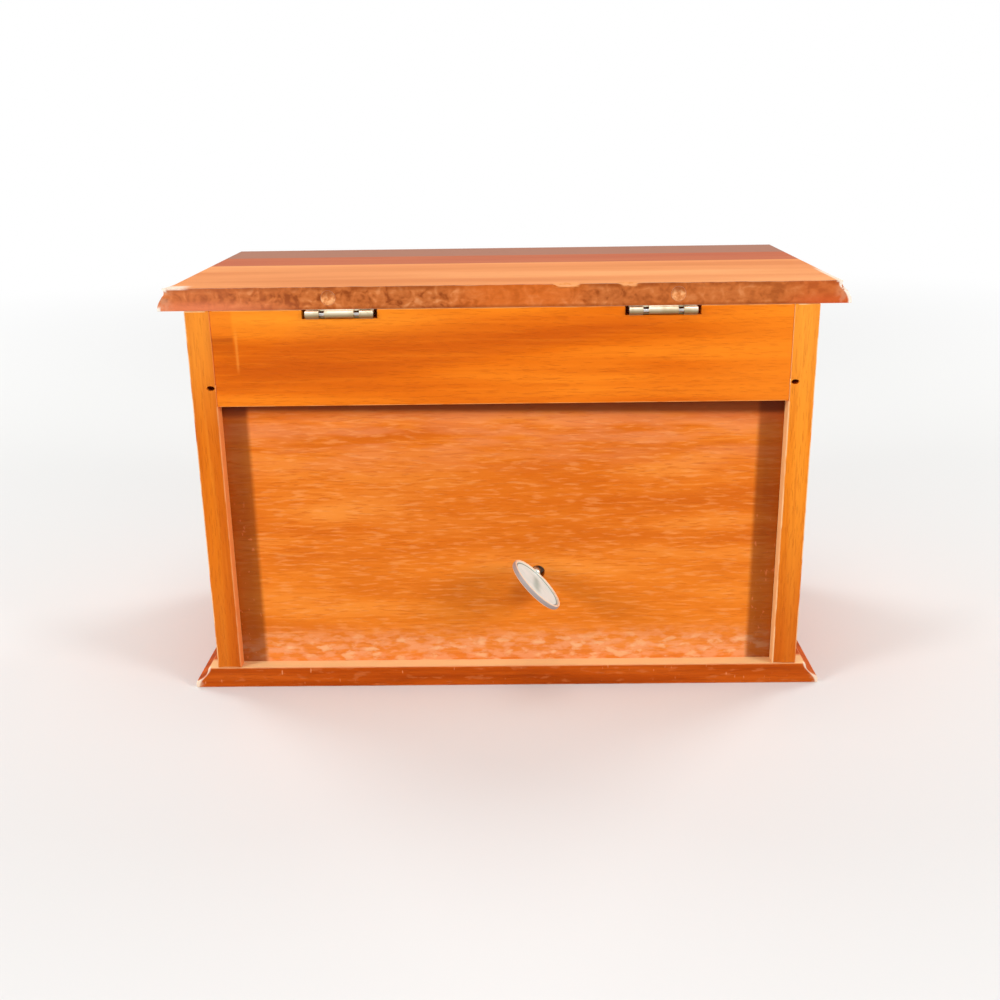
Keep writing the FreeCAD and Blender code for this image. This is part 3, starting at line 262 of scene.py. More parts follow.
arris = 0.45
worn_wood = (252, 205, 150)
bare_wood = (236, 205, 170)
body_of = {node: body for body, members in frame["record"]["behaviour"]["bodies"].items() for node in members}


def box_mm(node):
    """The low and high corners of a CAD node, in millimetres."""
    return [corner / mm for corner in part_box(node)]


def merged(node):
    """A CAD node's shape, with its corners joined."""
    form = bmesh.new()
    form.from_mesh(nodes[node].data)
    bmesh.ops.remove_doubles(form, verts=form.verts, dist=0.002 * mm)
    return form


def object_from(form, name, smooth=22.0):
    """Turns a bmesh into an object whose curved faces are shaded smooth."""
    mesh = bpy.data.meshes.new(name)
    form.to_mesh(mesh)
    form.free()
    mesh.polygons.foreach_set("use_smooth", [True] * len(mesh.polygons))
    mesh.set_sharp_from_angle(angle=math.radians(smooth))
    made = bpy.data.objects.new(name, mesh)
    scene.collection.objects.link(made)
    return made


def seat(piece, *stood_for):
    """Lets a piece ride where the solids are that it stands for, and hides those solids."""
    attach(piece, body_of[stood_for[0]])
    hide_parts(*stood_for)


def eased(node, width, finish, least=6.0, smooth=22.0, segments=2):
    """A copy of a solid with its long outer edges rounded; the rounded faces are marked as worn."""
    form = merged(node)
    bmesh.ops.dissolve_limit(form, angle_limit=math.radians(0.5), verts=form.verts, edges=form.edges)
    worn = form.faces.layers.float.new("worn")
    sharp = [edge for edge in form.edges if edge.is_manifold and edge.calc_length() > least * mm
             and edge.calc_face_angle_signed() > math.radians(40)]
    made = bmesh.ops.bevel(form, geom=sharp, offset=width * mm, offset_type="OFFSET", segments=segments,
                           profile=0.5, affect="EDGES", clamp_overlap=True, material=-1)
    for face in made["faces"]:
        face[worn] = 1.0
    piece = object_from(form, node + "_finished", smooth)
    piece.data.materials.append(finish.owner)
    seat(piece, node)
    return piece


def wood(name, along, tones, seed=0.0, figure=(190, 13), line_share=0.16, streak=(34, 1.1), streak_share=0.3,
         pore=(5.5, 0.34), pore_share=0.3, gloss=0.33):
    """Stained wood whose grain runs along one axis. Its tones are dark, middle and light."""
    finish = Finish(bpy.data.materials.new(name))
    dark = tones[0]
    light = tones[2]
    line_count = 60

    def grained(length, thickness):
        return [length if axis == along else thickness for axis in range(3)]

    swell = finish.cloud(grained(*figure), 2.5, seed)
    stops = [(place, srgb(*tone)) for place, tone in zip((0.33, 0.5, 0.66), tones)]
    finish.paint(finish.node("ShaderNodeValToRGB", {"stops": stops}, {"Fac": swell}))
    slow = finish.cloud(grained(figure[0] * 1.4, figure[1] * 1.3), 1.0, seed + 3)
    line = slow.worked("SINE", slow * line_count) * 0.5 + 0.5
    finish.tint(line ** 3 * line_share, *dark)
    finish.fine = finish.cloud(grained(*streak), 3.0, seed + 7)
    finish.tint(finish.fine.fade(0.52, 0.7) * streak_share, *light)
    finish.tint(finish.fine.fade(0.48, 0.32) * streak_share, *dark)
    finish.dots = finish.cloud(grained(*pore), 1.0, seed + 11).fade(0.6, 0.7)
    finish.tint(finish.dots * pore_share, *dark)
    finish.patch = finish.cloud((38, 38, 38), 2.0, seed + 17)
    finish.give(Roughness=gloss + finish.patch * 0.22, Coat_Weight=0.14, Coat_Roughness=0.3,
                Specular_IOR_Level=0.0)
    finish.bump(finish.fine * 0.55 - finish.dots * 0.6, 0.12)
    return finish


def worn_at(finish):
    """Is 1 on the edges that were rounded."""
    return finish.node("ShaderNodeAttribute", {"attribute_name": "worn"}, out="Fac")


def worn_edges(finish, tone, share=0.6, where=1):
    """Shows paler wood along the rounded edges, in patches."""
    broken = finish.cloud((9, 9, 9), 3.0, 41).fade(0.38, 0.56)
    finish.tint(worn_at(finish) * (broken * share + (1 - share) * 0.35) * where, *tone)


side_finish = wood("side_wood", 2, ((206, 96, 12), (238, 129, 22), (251, 150, 40)), seed=2, figure=(230, 9),
                   line_share=0.12)
height = side_finish.along(2)
side_finish.tint(height.fade(95, 6) * 0.62, 196, 84, 16)
side_finish.tint(height.fade(95, 150) * 0.4, 255, 168, 64)
across = side_finish.along(0)
inner_half = max(box_mm(board)[0].x for board in ("left_side_board", "right_side_board"))
recess = box_mm("back_panel")[1].y
in_recess = side_finish.along(1).fade(recess - 0.4, recess + 0.4)
# The inner faces of the sides in the recess are painted pale, salmon on one side and cream on the other:
# painted light from the lamps.
for turn, lit_face_tone in ((1, (246, 150, 84)), (-1, (255, 200, 136))):
    inner_face = (across * turn).band(inner_half - 2, inner_half + 0.25, 0.1)
    side_finish.tint(inner_face * in_recess * 0.85, *lit_face_tone)
upper_low, upper_high = box_mm("upper_back_board")
tight_joint = (abs(across).fade(inner_half + 2, inner_half + 1)
               * height.fade(upper_low.z - 0.6, upper_low.z + 0.2))
rubbed_face = across.band(inner_half - 0.2, inner_half + 0.7, 0.1) * in_recess
worn_edges(side_finish, worn_wood, 0.7, (1 - tight_joint) * (1 - rubbed_face * 0.75))

# The groove for the tray floor shows at the back of each side only as a small oval hole.
floor_low, floor_high = box_mm("compartment_floor")
groove_deep = 3.9
mouth_half = (groove_deep / 2 + 0.03, (floor_high.z - floor_low.z) / 2 + 0.07)
hole_half = (1.5, 0.92)
hole_steps = 32
plate_face = 0.02
plate_back = 1.6


def groove_end(board, turn):
    """Closes the mouth of the groove with wood that has an oval hole in it."""
    form = bmesh.new()
    form.from_mesh(board.data)
    middle = Vector((turn * (inner_half + groove_deep / 2), upper_high.y, (floor_low.z + floor_high.z) / 2))
    rings = []
    for inward, square, half in ((plate_face, True, mouth_half), (plate_face, False, hole_half),
                                 (plate_back, False, hole_half), (plate_back, True, mouth_half)):
        rings.append([])
        for step in range(hole_steps):
            flat = math.cos(2 * math.pi * step / hole_steps)
            tall = math.sin(2 * math.pi * step / hole_steps)
            spread = 1
            if square:
                spread = 1 / max(abs(flat), abs(tall))
            corner = middle + Vector((flat * spread * half[0], -inward, tall * spread * half[1]))
            rings[-1].append(form.verts.new(corner * mm))
    made = []
    for first, second in zip(rings, rings[1:] + rings[:1]):
        for step in range(hole_steps):
            ahead = (step + 1) % hole_steps
            made.append(form.faces.new((first[step], first[ahead], second[ahead], second[step])))
    bmesh.ops.recalc_face_normals(form, faces=made)
    form.to_mesh(board.data)
    form.free()


for board in ("left_side_board", "right_side_board"):
    groove_end(eased(board, arris, side_finish), math.copysign(1, sum(corner.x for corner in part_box(board))))

# The upper back board has a short darker block let in at one end, with a pale glue line beside it.
patch_edge = 96.4
upper_finish = wood("upper_board_wood", 0, ((206, 90, 6), (230, 111, 12), (248, 134, 26)), seed=5,
                    figure=(150, 12), streak_share=0.22)
across = upper_finish.along(0)
height = upper_finish.along(2)
behind = upper_finish.along(1).fade(0, 20)
block = across.fade(patch_edge, patch_edge + 1.2) * behind
bars = upper_finish.cloud((60, 3.2, 3.2), 2.0, 23).fade(0.4, 0.6)
glue_line = across.band(patch_edge - 0.9, patch_edge, 0.4) * height.band(128, 142, 2.5) * behind
upper_finish.tint(height.fade(136, 147) * across.fade(-20, 90) * 0.55, 255, 156, 44)
upper_finish.tint(across.fade(-60, -104) * 0.45, 255, 144, 34)
upper_finish.tint(block * height.band(133.5, 140, 1.0) * (bars * 0.45 + 0.25), 160, 62, 8)
upper_finish.tint(block * height.fade(139, 141) * 0.3, 222, 96, 14)
upper_finish.tint(glue_line * 0.4, 255, 160, 60)
worn_edges(upper_finish, (250, 172, 96), 0.4, abs(across).fade(inner_half - 0.6, inner_half - 1.4))
for board in ("upper_back_board", "upper_front_board", "drawer_shelf"):
    eased(board, arris, upper_finish)


# The base board: a wider board of the same wood with a hollow moulding on three edges, square behind.
# It lies flat on the table. Its top behind the recessed panel is painted pale, partly thin stain and partly a
# painted highlight.

base_low, base_high = box_mm("base_board")
base_finish = wood("base_wood", 0, ((164, 64, 6), (192, 80, 8), (212, 98, 22)), seed=9, figure=(120, 7))
height = base_finish.along(2)
depth = base_finish.along(1)
from_middle = abs(base_finish.along(0))
behind = depth.fade(base_high.y - 9, base_high.y - 6)
scuffed = base_finish.cloud((7, 7, 2.2), 3.0, 31).fade(0.56, 0.68) * (behind * 0.8 + 0.2)
base_finish.tint(scuffed * 0.35, 222, 128, 70)
scratched = base_finish.cloud((1.6, 1.6, 5), 1.0, 33).fade(0.69, 0.74) * behind
base_finish.tint(scratched * 0.6, 238, 160, 104)
# Pale band on the top behind the panel: partly thin stain, partly a painted highlight of light from above.
pale_and_lit_top = height.fade(base_high.z - 0.35, base_high.z - 0.05) * behind
base_finish.tint(pale_and_lit_top * 0.85, 255, 212, 150)
tips = (from_middle.fade(119.5, 123) * depth.fade(base_high.y - 3, base_high.y - 0.8)
        * base_finish.cloud((3, 3, 2), 3.0, 37).fade(0.42, 0.55))
base_finish.tint(tips * 0.7, *bare_wood)
worn_edges(base_finish, (236, 150, 96), 0.4)
moulding_width = 5
from_edge = ((base_high.x - base_low.x) / 2 - moulding_width
             + height.fade(base_high.z, 0.5) * moulding_width - from_middle)
worn_line = from_edge.fade(1.5, 0.7) * depth.fade(base_high.y - 2, base_high.y - 0.6)
base_finish.tint(worn_line * 0.85, 252, 232, 206)
eased("base_board", arris, base_finish)


# The lid: a board glued up from staves of different tone, moulded on three edges. Its back edge is the
# rough end of the moulding run, darker and fibrous, chipped along the top and white with wear at the tips.

lid_low, lid_high = box_mm("lid_board")
lid_rear = lid_high.y
lid_middle = (lid_low.x + lid_high.x) / 2
lid_half = (lid_high.x - lid_low.x) / 2
lid_top = lid_high.z
lid_thick = lid_high.z - lid_low.z
lid_chips = ((-27.6, -18.8), (-48.4, -43.2))
flare_length = 12
flare_drop = 4
lid_flare = {1: 1.9, -1: 0.7}
outline_scale = 5
moulding = ((0, 0), (1.0, 0), (2.3, 0.4), (3.6, 1.1), (4.6, 2.0), (5.5, 3.15), (6.2, 3.85), (7.05, 4.2),
            (lid_thick, 4.2))
stave_edge = lid_rear - 64.5
far_stave_edge = lid_rear - 92
lid_finish = wood("lid_wood", 0, ((220, 130, 66), (234, 147, 82), (244, 164, 98)), seed=13, figure=(200, 22),
                  line_share=0.06, streak_share=0.16)
across = lid_finish.along(0)
depth = lid_finish.along(1)
height = lid_finish.along(2)
red_stave = depth.fade(stave_edge + 0.3, stave_edge - 0.3)
lid_finish.tint(red_stave * (lid_finish.fine * 0.5 + 0.54), 180, 84, 54)
# The top of the far stave is painted greyish: a painted sheen, as seen at a grazing angle, over that stave.
far_stave_sheen = depth.fade(far_stave_edge + 0.4, far_stave_edge - 0.4) * height.fade(lid_top - 2.2, lid_top - 1.2)
lid_finish.tint(far_stave_sheen * (lid_finish.fine * 0.5 + 0.6), 164, 116, 94)

back_edge = depth.fade(lid_rear - 0.5, lid_rear - 0.1)
lower_part = height.fade(lid_top - 3.5, lid_top - 7.2)
mottle = lid_finish.cloud((6.5, 6.5, 4.5), 1.0, 51)
scales = lid_finish.node("ShaderNodeTexNoise", {}, {"Vector": lid_finish.place, "Scale": 240.0, "Detail": 1.2,
                                                    "Distortion": 1.3})
flecks = lid_finish.cloud((1.5, 1.5, 1.2), 1.0, 53)
rough_edge = lid_finish.node("ShaderNodeValToRGB", {"stops": [
    (0.38, srgb(146, 68, 22)), (0.48, srgb(188, 100, 44)), (0.56, srgb(202, 114, 56)),
    (0.7, srgb(226, 146, 88))]}, {"Fac": mottle * 0.3 + scales * 0.5 + flecks * 0.2})
dark_patches = height.fade(lid_top - 2.2, lid_top - 0.6) * (flecks * 0.4 + mottle * 0.6).fade(0.4, 0.56)
for share, tone in ((across.fade(-30, -60) * 0.4, (198, 106, 46)),
                    (dark_patches * 0.7, (146, 66, 18)),
                    (across.band(-28, 14, 12) * 0.6, (222, 108, 30)),
                    (height.fade(lid_low.z + 1.3, lid_low.z + 0.5) * 0.5, (150, 70, 20)),
                    (across.fade(60, 112) * (lower_part * 0.6 + 0.25), (230, 128, 84)),
                    (across.fade(-96, -114) * (lower_part * 0.5 + 0.3), (206, 88, 36))):
    rough_edge = lid_finish.mix(share, rough_edge, srgb(*tone))
lid_finish.paint(lid_finish.mix(back_edge, lid_finish.colour, rough_edge))

near_back = depth.fade(lid_rear - 4, lid_rear - 0.8)
aside = across - lid_middle
tips = abs(aside).fade(lid_half - 7, lid_half - 2.5) * lid_finish.cloud((4, 4, 3), 3.0, 57).fade(0.4, 0.55)
lid_finish.tint(tips * near_back * 0.2, *bare_wood)
lid_finish.tint(worn_at(lid_finish) * near_back * 0.2, 250, 236, 220)
for turn, line_where in ((-1, 1), (1, height.fade(lid_top - 1.8, lid_top - 0.5)
                                   + height.fade(lid_top - 6.2, lid_top - 7.4))):
    stops = []
    for rise, inset in moulding:
        flare = lid_flare[turn] * max(1 - (lid_thick - rise) / flare_drop, 0)
        stops.append((rise / lid_thick, ((inset - flare) / outline_scale,) * 3 + (1,)))
    outline = lid_finish.node("ShaderNodeValToRGB", {"stops": stops},
                              {"Fac": (height - lid_low.z) * (1 / lid_thick)})
    from_edge = lid_half - outline * outline_scale - aside * turn
    worn_line = from_edge.fade(1.6, 0.8) * flecks.fade(0.3, 0.42)
    lid_finish.tint(worn_line * near_back * line_where * 0.95, 250, 238, 222)
on_top = height.fade(lid_top - 0.9, lid_top - 0.3)
# Pale patches on the top by the ends are painted highlights of the lamps, partly wear as well.
nose_highlight_and_wear = aside.fade(lid_half - 13, lid_half - 8) * depth.fade(lid_rear - 8, lid_rear - 4)
arris_highlight_and_wear = (aside * -1).fade(lid_half - 6.2, lid_half - 5.2) * depth.fade(lid_rear - 42, lid_rear - 20)
for corner in (nose_highlight_and_wear, arris_highlight_and_wear):
    lid_finish.tint(corner * on_top * 0.8, 252, 234, 214)
chipped = sum(across.band(start, end, 0.8) for start, end in lid_chips)
chip_mask = chipped * height.fade(lid_top - 1.7, lid_top - 0.6) * flecks.fade(0.36, 0.5)
lid_finish.tint(chip_mask * near_back * 0.8, 246, 166, 104)
lid_finish.give(Coat_Weight=0.2, Roughness=0.34 + lid_finish.patch * 0.16 + back_edge * 0.4)
lid_finish.bump(lid_finish.fine * 0.3 - lid_finish.dots * 0.3 + (mottle + scales) * back_edge * 1.6, 0.16)
lid = eased("lid_board", arris, lid_finish, least=0.2)

lid_form = bmesh.new()
lid_form.from_mesh(lid.data)
cuts = [((lid_low.x + 2 * lid_half * (cut + 1) / 98, 0, 0), (1, 0, 0)) for cut in range(97)]
cuts += [((0, lid_rear - flare_length * (cut + 1) / 7, 0), (0, 1, 0)) for cut in range(7)]
for place, direction in cuts:
    bmesh.ops.bisect_plane(lid_form, geom=lid_form.verts[:] + lid_form.edges[:] + lid_form.faces[:],
                           plane_co=Vector(place) * mm, plane_no=direction, dist=0.01 * mm)
for vert in lid_form.verts:
    aside = vert.co.x / mm - lid_middle
    below_top = lid_top - vert.co.z / mm
    from_rear = lid_rear - vert.co.y / mm
    if abs(aside) > lid_half - 7 and below_top < flare_drop and from_rear < flare_length:
        flare = lid_flare[1 if aside > 0 else -1]
        outward = flare * (1 - from_rear / flare_length) ** 2 * (1 - below_top / flare_drop)
        vert.co.x += math.copysign(outward, aside) * mm
    if from_rear < 1.2 and below_top < 1.2 and abs(aside) < lid_half - 7:
        worn_away = 0.16 * (1 + noise.noise(vert.co * 220))
        for start, end in lid_chips:
            share = (vert.co.x / mm - start) / (end - start)
            if 0 < share < 1:
                worn_away += 0.75 * math.sin(math.pi * share) ** 0.5
        vert.co -= Vector((0, worn_away * (1 - below_top / 1.2), worn_away * (1 - from_rear / 1.2))) * mm
lid_form.to_mesh(lid.data)
lid_form.free()

plug_low, plug_high = box_mm("lid_plugs")
plug_finish = wood("plug_wood", 1, ((204, 116, 60), (232, 148, 86), (250, 182, 122)), seed=19,
                   figure=(30, 1.6), streak_share=0.5)
# The upper half of each plug's face is painted darker: painted shade.
plug_upper_shade = plug_finish.along(2).fade((plug_low.z + plug_high.z) / 2 - 0.4, plug_high.z - 0.6)
plug_finish.tint(plug_upper_shade * 0.75, 150, 66, 22)
nodes["lid_plugs"].material_slots[0].material = plug_finish.owner


# The recessed back: thin plywood faced with an open-grained veneer, in short streaks and pores. Shadows of the
# sides, of the board above and of the key are painted on it, and it is cloudy with scuffs along the bottom.

opening_low = base_high.z
opening_high = upper_low.z
panel_finish = wood("panel_wood", 0, ((214, 102, 18), (232, 122, 30), (246, 146, 56)), seed=29,
                    figure=(90, 14), line_share=0.05, streak=(15, 1.2), streak_share=0.5, pore=(6.5, 0.6),
                    pore_share=0.55, gloss=0.38)
from_middle = abs(panel_finish.along(0))
height = panel_finish.along(2)
low_middle = height.fade(112, 84) * height.fade(48, 66) * from_middle.fade(80, 30)
panel_finish.tint(low_middle * 0.5, 218, 106, 16)
panel_finish.tint(height.fade(62, 40) * 0.3, 250, 144, 40)
dashes = panel_finish.cloud((7.5, 1.2, 1.2), 3.0, 61).fade(0.5, 0.7)
panel_finish.tint(dashes * 0.36, 252, 168, 96)
chalky = panel_finish.cloud((5.5, 2.5, 2.2), 3.0, 67).fade(0.4, 0.64)
panel_finish.tint(height.fade(opening_low + 17, opening_low + 5) * (chalky * 0.75 + 0.12), 248, 166, 112)
chalk_spots = panel_finish.cloud((6, 2.6, 2.6), 3.0, 69).fade(0.52, 0.68)
panel_finish.tint(chalk_spots * height.fade(opening_low + 15, opening_low + 5) * 0.7, 252, 196, 144)
hazy = panel_finish.cloud((26, 5, 4.5), 2.0, 79).fade(0.34, 0.68)
panel_finish.tint(height.fade(opening_high - 34, opening_high - 12) * hazy * 0.36, 244, 156, 104)
# A soft painted shadow of the key on the panel below and beside it.
key_shadow_distance = panel_finish.vector("DISTANCE", panel_finish.place, Vector((-7, recess, 37.5)) * mm)
panel_finish.tint(key_shadow_distance.fade(8.5 * mm, 1.5 * mm) * 0.45, 166, 72, 6)
# Painted shadows of the sides: darker strips along both ends of the panel, with paler spots in them.
side_shadows = from_middle.fade(upper_high.x - 10.4, upper_high.x - 8.2)
side_shadow_spots = panel_finish.cloud((1.6, 1.6, 2.6), 2.0, 75).fade(0.66, 0.74) * height.fade(88, 60)
side_shadow_tone = panel_finish.mix(side_shadow_spots * 0.5, srgb(128, 56, 8), srgb(214, 124, 84))
panel_finish.paint(panel_finish.mix(side_shadows * 0.68, panel_finish.colour, side_shadow_tone))
# Painted shadow under the upper back board, slanting a little across, darkest where it meets the painted side
# shadows.
board_shadow_height = height + panel_finish.along(0) * -0.014
panel_finish.tint(board_shadow_height.fade(opening_high - 9, opening_high - 5) * 0.45, 178, 84, 40)
panel_finish.tint(board_shadow_height.fade(opening_high - 5.6, opening_high - 3.2) * 0.85, 106, 44, 8)
panel_finish.tint(height.fade(opening_high - 6.5, opening_high - 4) * side_shadows * 0.6, 74, 24, 2)
for board in ("back_panel", "compartment_floor", "inner_back"):
    nodes[board].material_slots[0].material = panel_finish.owner


# The hinges: two small plated butt hinges let into gains in the upper back board, their knuckles showing
# under the lid. Slotted screws, two to a leaf, are turned here, with heads countersunk in the leaves.

def metal(name, colour, dull, roughness=0.28, scratch=(6, 6, 0.5), depth=0.01, whole=1.0):
    """Plated or plain metal, with cloudy tarnish and fine scratches."""
    finish = Finish(bpy.data.materials.new(name))
    cloudy = finish.cloud((5, 5, 5), 3.0, 71).fade(0.4, 0.66)
    fine = finish.cloud(scratch, 2.0, 73)
    finish.paint(finish.mix(cloudy * 0.6, srgb(*colour), srgb(*dull)))
    finish.give(Metallic=whole, Roughness=roughness + cloudy * 0.12 + fine * 0.08)
    finish.bump(fine, depth)
    return finish


hinge_finish = metal("hinge_plate", (246, 232, 204), (196, 176, 138), 0.3, (0.6, 6, 6))
knuckle_middle = sum(corner.z for corner in box_mm("hinge_pins")) / 2
# The lower half of each knuckle is painted darker: painted shade.
hinge_finish.tint(hinge_finish.along(2).fade(knuckle_middle + 1.1, knuckle_middle - 0.6) * 0.85, 136, 112, 68)
for side_name in ("left", "right"):
    for leaf_name in ("case", "lid"):
        eased(f"{side_name}_hinge_{leaf_name}_leaf", 0.12, hinge_finish, least=0.15, smooth=32, segments=1)

steel_finish = metal("bright_steel", (214, 214, 212), (150, 148, 142), 0.26)


def lathe(form, outline, start, axis, steps):
    """Spins an outline of (distance along the axis, radius) in millimetres about a line through start."""
    direction = Vector(axis).normalized()
    side = direction.orthogonal().normalized()
    corners = [form.verts.new(Vector(start) + (direction * along + side * radius) * mm)
               for along, radius in outline]
    edges = [form.edges.new(pair) for pair in zip(corners, corners[1:])]
    bmesh.ops.spin(form, geom=corners + edges, cent=start, axis=direction, angle=2 * math.pi, steps=steps,
                   use_merge=True)
    bmesh.ops.remove_doubles(form, verts=form.verts, dist=0.001 * mm)
    bmesh.ops.recalc_face_normals(form, faces=form.faces)


def add_to(form, single):
    """Adds one shape to another and lets the first go."""
    mesh = bpy.data.meshes.new("single")
    single.to_mesh(mesh)
    single.free()
    form.from_mesh(mesh)
    bpy.data.meshes.remove(mesh)


def solids_of(node):
    """The low and high corners of each separate solid of a node."""
    form = merged(node)
    left = set(form.verts)
    corners = []
    while left:
        group = [left.pop()]
        for vert in group:
            for edge in vert.link_edges:
                other = edge.other_vert(vert)
                if other in left:
                    left.remove(other)
                    group.append(other)
        places = [vert.co.copy() for vert in group]
        corners.append((Vector(map(min, *places)), Vector(map(max, *places))))
    form.free()
    return sorted(corners, key=lambda pair: tuple(pair[0]))


def slotted(form, level, direction, across_slot, head_radius, slot_width, slot_depth):
    """Cuts a screwdriver slot: the head's flat disc is split by two lines and its middle pressed down."""
    half_width = slot_width / 2 * mm
    for sign in (-1, 1):
        bmesh.ops.bisect_plane(form, geom=form.verts[:] + form.edges[:] + form.faces[:],
                               plane_co=level + across_slot * sign * half_width, plane_no=across_slot,
                               dist=0.001 * mm)
    middle_faces = []
    for face in form.faces:
        place = face.calc_center_median() - level
        if (abs(place.dot(direction)) < 0.01 * mm and abs(place.dot(across_slot)) < half_width
                and place.length < head_radius * mm):
            middle_faces.append(face)
    sunk = bmesh.ops.extrude_face_region(form, geom=middle_faces)
    moved = [part for part in sunk["geom"] if isinstance(part, bmesh.types.BMVert)]
    bmesh.ops.translate(form, verts=moved, vec=-direction * slot_depth * mm)
    bmesh.ops.delete(form, geom=middle_faces, context="FACES")


def countersunk_screws(node, up):
    """The hinge screws of one set of leaves; up is +1 where they are driven upwards."""
    form = bmesh.new()
    for index, (low, high) in enumerate(solids_of(node)):
        head = Vector(((low.x + high.x) / 2, (low.y + high.y) / 2, low.z if up > 0 else high.z))
        radius = (high.x - low.x) / 2 / mm
        length = (high.z - low.z) / mm
        single = bmesh.new()
        lathe(single, [(0, 0), (0, radius - 0.06), (0.05, radius), (0.8, radius * 0.53),
                       (length - 1.6, radius * 0.53), (length, 0)], head, (0, 0, up), 32)
        turn = math.radians(25 + 50 * index)
        across_slot = Vector((math.cos(turn), math.sin(turn), 0))
        slotted(single, head, Vector((0, 0, -up)), across_slot, radius, slot_width=0.42, slot_depth=0.3)
        add_to(form, single)
    piece = object_from(form, node + "_finished", 30)
    piece.data.materials.append(steel_finish.owner)
    seat(piece, node)


countersunk_screws("hinge_case_screws", -1)
countersunk_screws("hinge_lid_screws", 1)


# The winding key: a nickel-plated disc pressed from sheet, with a rolled rim, standing on edge on the end
# of a short sleeve. The sleeve screws on the winding arbor and comes out through the panel.

key_low, key_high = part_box("winding_key")
key_radius = 12.0
key_disc_y = key_high.y - key_radius * mm
key_turn = math.radians(45)
key_normal = Vector((-math.cos(key_turn), 0, math.sin(key_turn)))
key_web = 0.28
key_roll = 1.0
key_bead = 0.55
sleeve_radius = 1.9
outward_y = Vector((0, 1, 0))

key_form = bmesh.new()
roll_place = key_radius - key_bead
face_outline = [(key_web * 1.2, 0), (key_web, 3.0), (key_web, roll_place - 1.2),
                (key_web + 0.06, roll_place - 0.75)]
for turn in [math.radians(25 + 155 * step / 9) for step in range(10)]:
    face_outline.append((key_roll * math.sin(turn), roll_place - key_bead * math.cos(turn)))
whole_outline = face_outline + [(-along, radius) for along, radius in reversed(face_outline)]
disc_middle = Vector(((key_low.x + key_high.x) / 2, key_disc_y, (key_low.z + key_high.z) / 2))
lathe(key_form, whole_outline, disc_middle, key_normal, 72)
for vert in key_form.verts:
    place = vert.co - disc_middle
    inward = place.y / mm
    sideways = place.cross(outward_y).dot(key_normal) / mm
    lobe = math.exp(-((abs(sideways) - 5.2) / 2.6) ** 2 - (inward / 5.0) ** 2)
    sign = 1 if place.dot(key_normal) > 0 else -1
    vert.co -= key_normal * sign * lobe * 0.12 * mm
key_disc = object_from(key_form, "key_disc", 40)
# The disc's near-white, barely metallic colour is a painted reflection of the pale surroundings in its
# plating.
disc_finish = metal("key_disc_plate", (232, 255, 255), (214, 240, 240), 0.44, (4, 4, 0.4), whole=0.05)
from_centre = disc_finish.vector("SUBTRACT", disc_finish.place, disc_middle, out=0)
lift = disc_finish.vector("DOT_PRODUCT", from_centre, key_normal) * (1 / mm)
sideways = disc_finish.vector("DOT_PRODUCT", from_centre, key_normal.cross(outward_y)) * (1 / mm)
reach = disc_finish.vector("LENGTH", from_centre) * (1 / mm)
outward = (reach * reach - lift * lift) ** 0.5
# Painted shade in the dip across the middle of the dish.
disc_finish.tint(sideways.band(-1.5, 1.5, 1.7) * outward.fade(8.5, 3.5) * 0.65, 128, 172, 164)
# Painted shade in the crease just inside the rolled rim.
disc_finish.tint(outward.band(roll_place - 1.2, roll_place - 0.62, 0.2) * 0.75, 84, 98, 84)
# Painted highlight on the rolled rim.
disc_finish.tint(outward.fade(roll_place - 0.62, roll_place - 0.3), 255, 228, 196)
# Painted shade on the outer edge of the rim.
disc_finish.tint(outward.fade(key_radius - 0.4, key_radius - 0.1) * 0.85, 140, 132, 138)
key_disc.data.materials.append(disc_finish.owner)
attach(key_disc, "key")

sleeve_form = bmesh.new()
sleeve_length = (key_disc_y - key_low.y) / mm - key_radius + key_roll
sleeve_outline = [(0, 0), (0, sleeve_radius - 0.2), (0.2, sleeve_radius),
                  (sleeve_length - 1.0, sleeve_radius), (sleeve_length - 0.3, sleeve_radius * 0.8),
                  (sleeve_length, sleeve_radius * 0.5), (sleeve_length, 0)]
lathe(sleeve_form, sleeve_outline, Vector((disc_middle.x, key_low.y, disc_middle.z)), outward_y, 40)
key_sleeve = object_from(sleeve_form, "key_sleeve", 40)
key_finish = metal("key_nickel_plate", (214, 216, 208), (160, 166, 158), 0.34, (4, 4, 0.4))
key_sleeve.data.materials.append(key_finish.owner)
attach(key_sleeve, "key")
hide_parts("winding_key")


# The tray under the lid is lined with burgundy velvet on a thin pad, and so are the drawers. The pile
# catches the light in cloudy patches where it has been brushed one way or the other.

velvet_finish = Finish(bpy.data.materials.new("velvet"))
brushed = velvet_finish.cloud((17, 17, 17), 3.0, 81).fade(0.38, 0.64)
pile = velvet_finish.cloud((0.5, 0.5, 0.5), 2.0, 83)
velvet_finish.paint(velvet_finish.mix(brushed, srgb(96, 12, 24), srgb(138, 26, 40)))
velvet_finish.tint(pile * 0.5, 62, 6, 14)
velvet_finish.give(Roughness=0.92, Specular_IOR_Level=0.15, Sheen_Weight=0.55, Sheen_Roughness=0.42,
                   Sheen_Tint=srgb(214, 120, 130))
velvet_finish.bump(pile + brushed * 0.3, 0.22)


def settled(made):
    """The mesh of an object with its modifiers carried out, which are then taken off."""
    mesh = bpy.data.meshes.new_from_object(made.evaluated_get(bpy.context.evaluated_depsgraph_get()))
    made.modifiers.clear()
    return mesh


def remeshed(made, voxel):
    """An even skin of small squares over a closed piece, which takes its place."""
    skin = made.modifiers.new("skin", "REMESH")
    skin.mode = "VOXEL"
    skin.voxel_size = voxel
    made.data = settled(made)


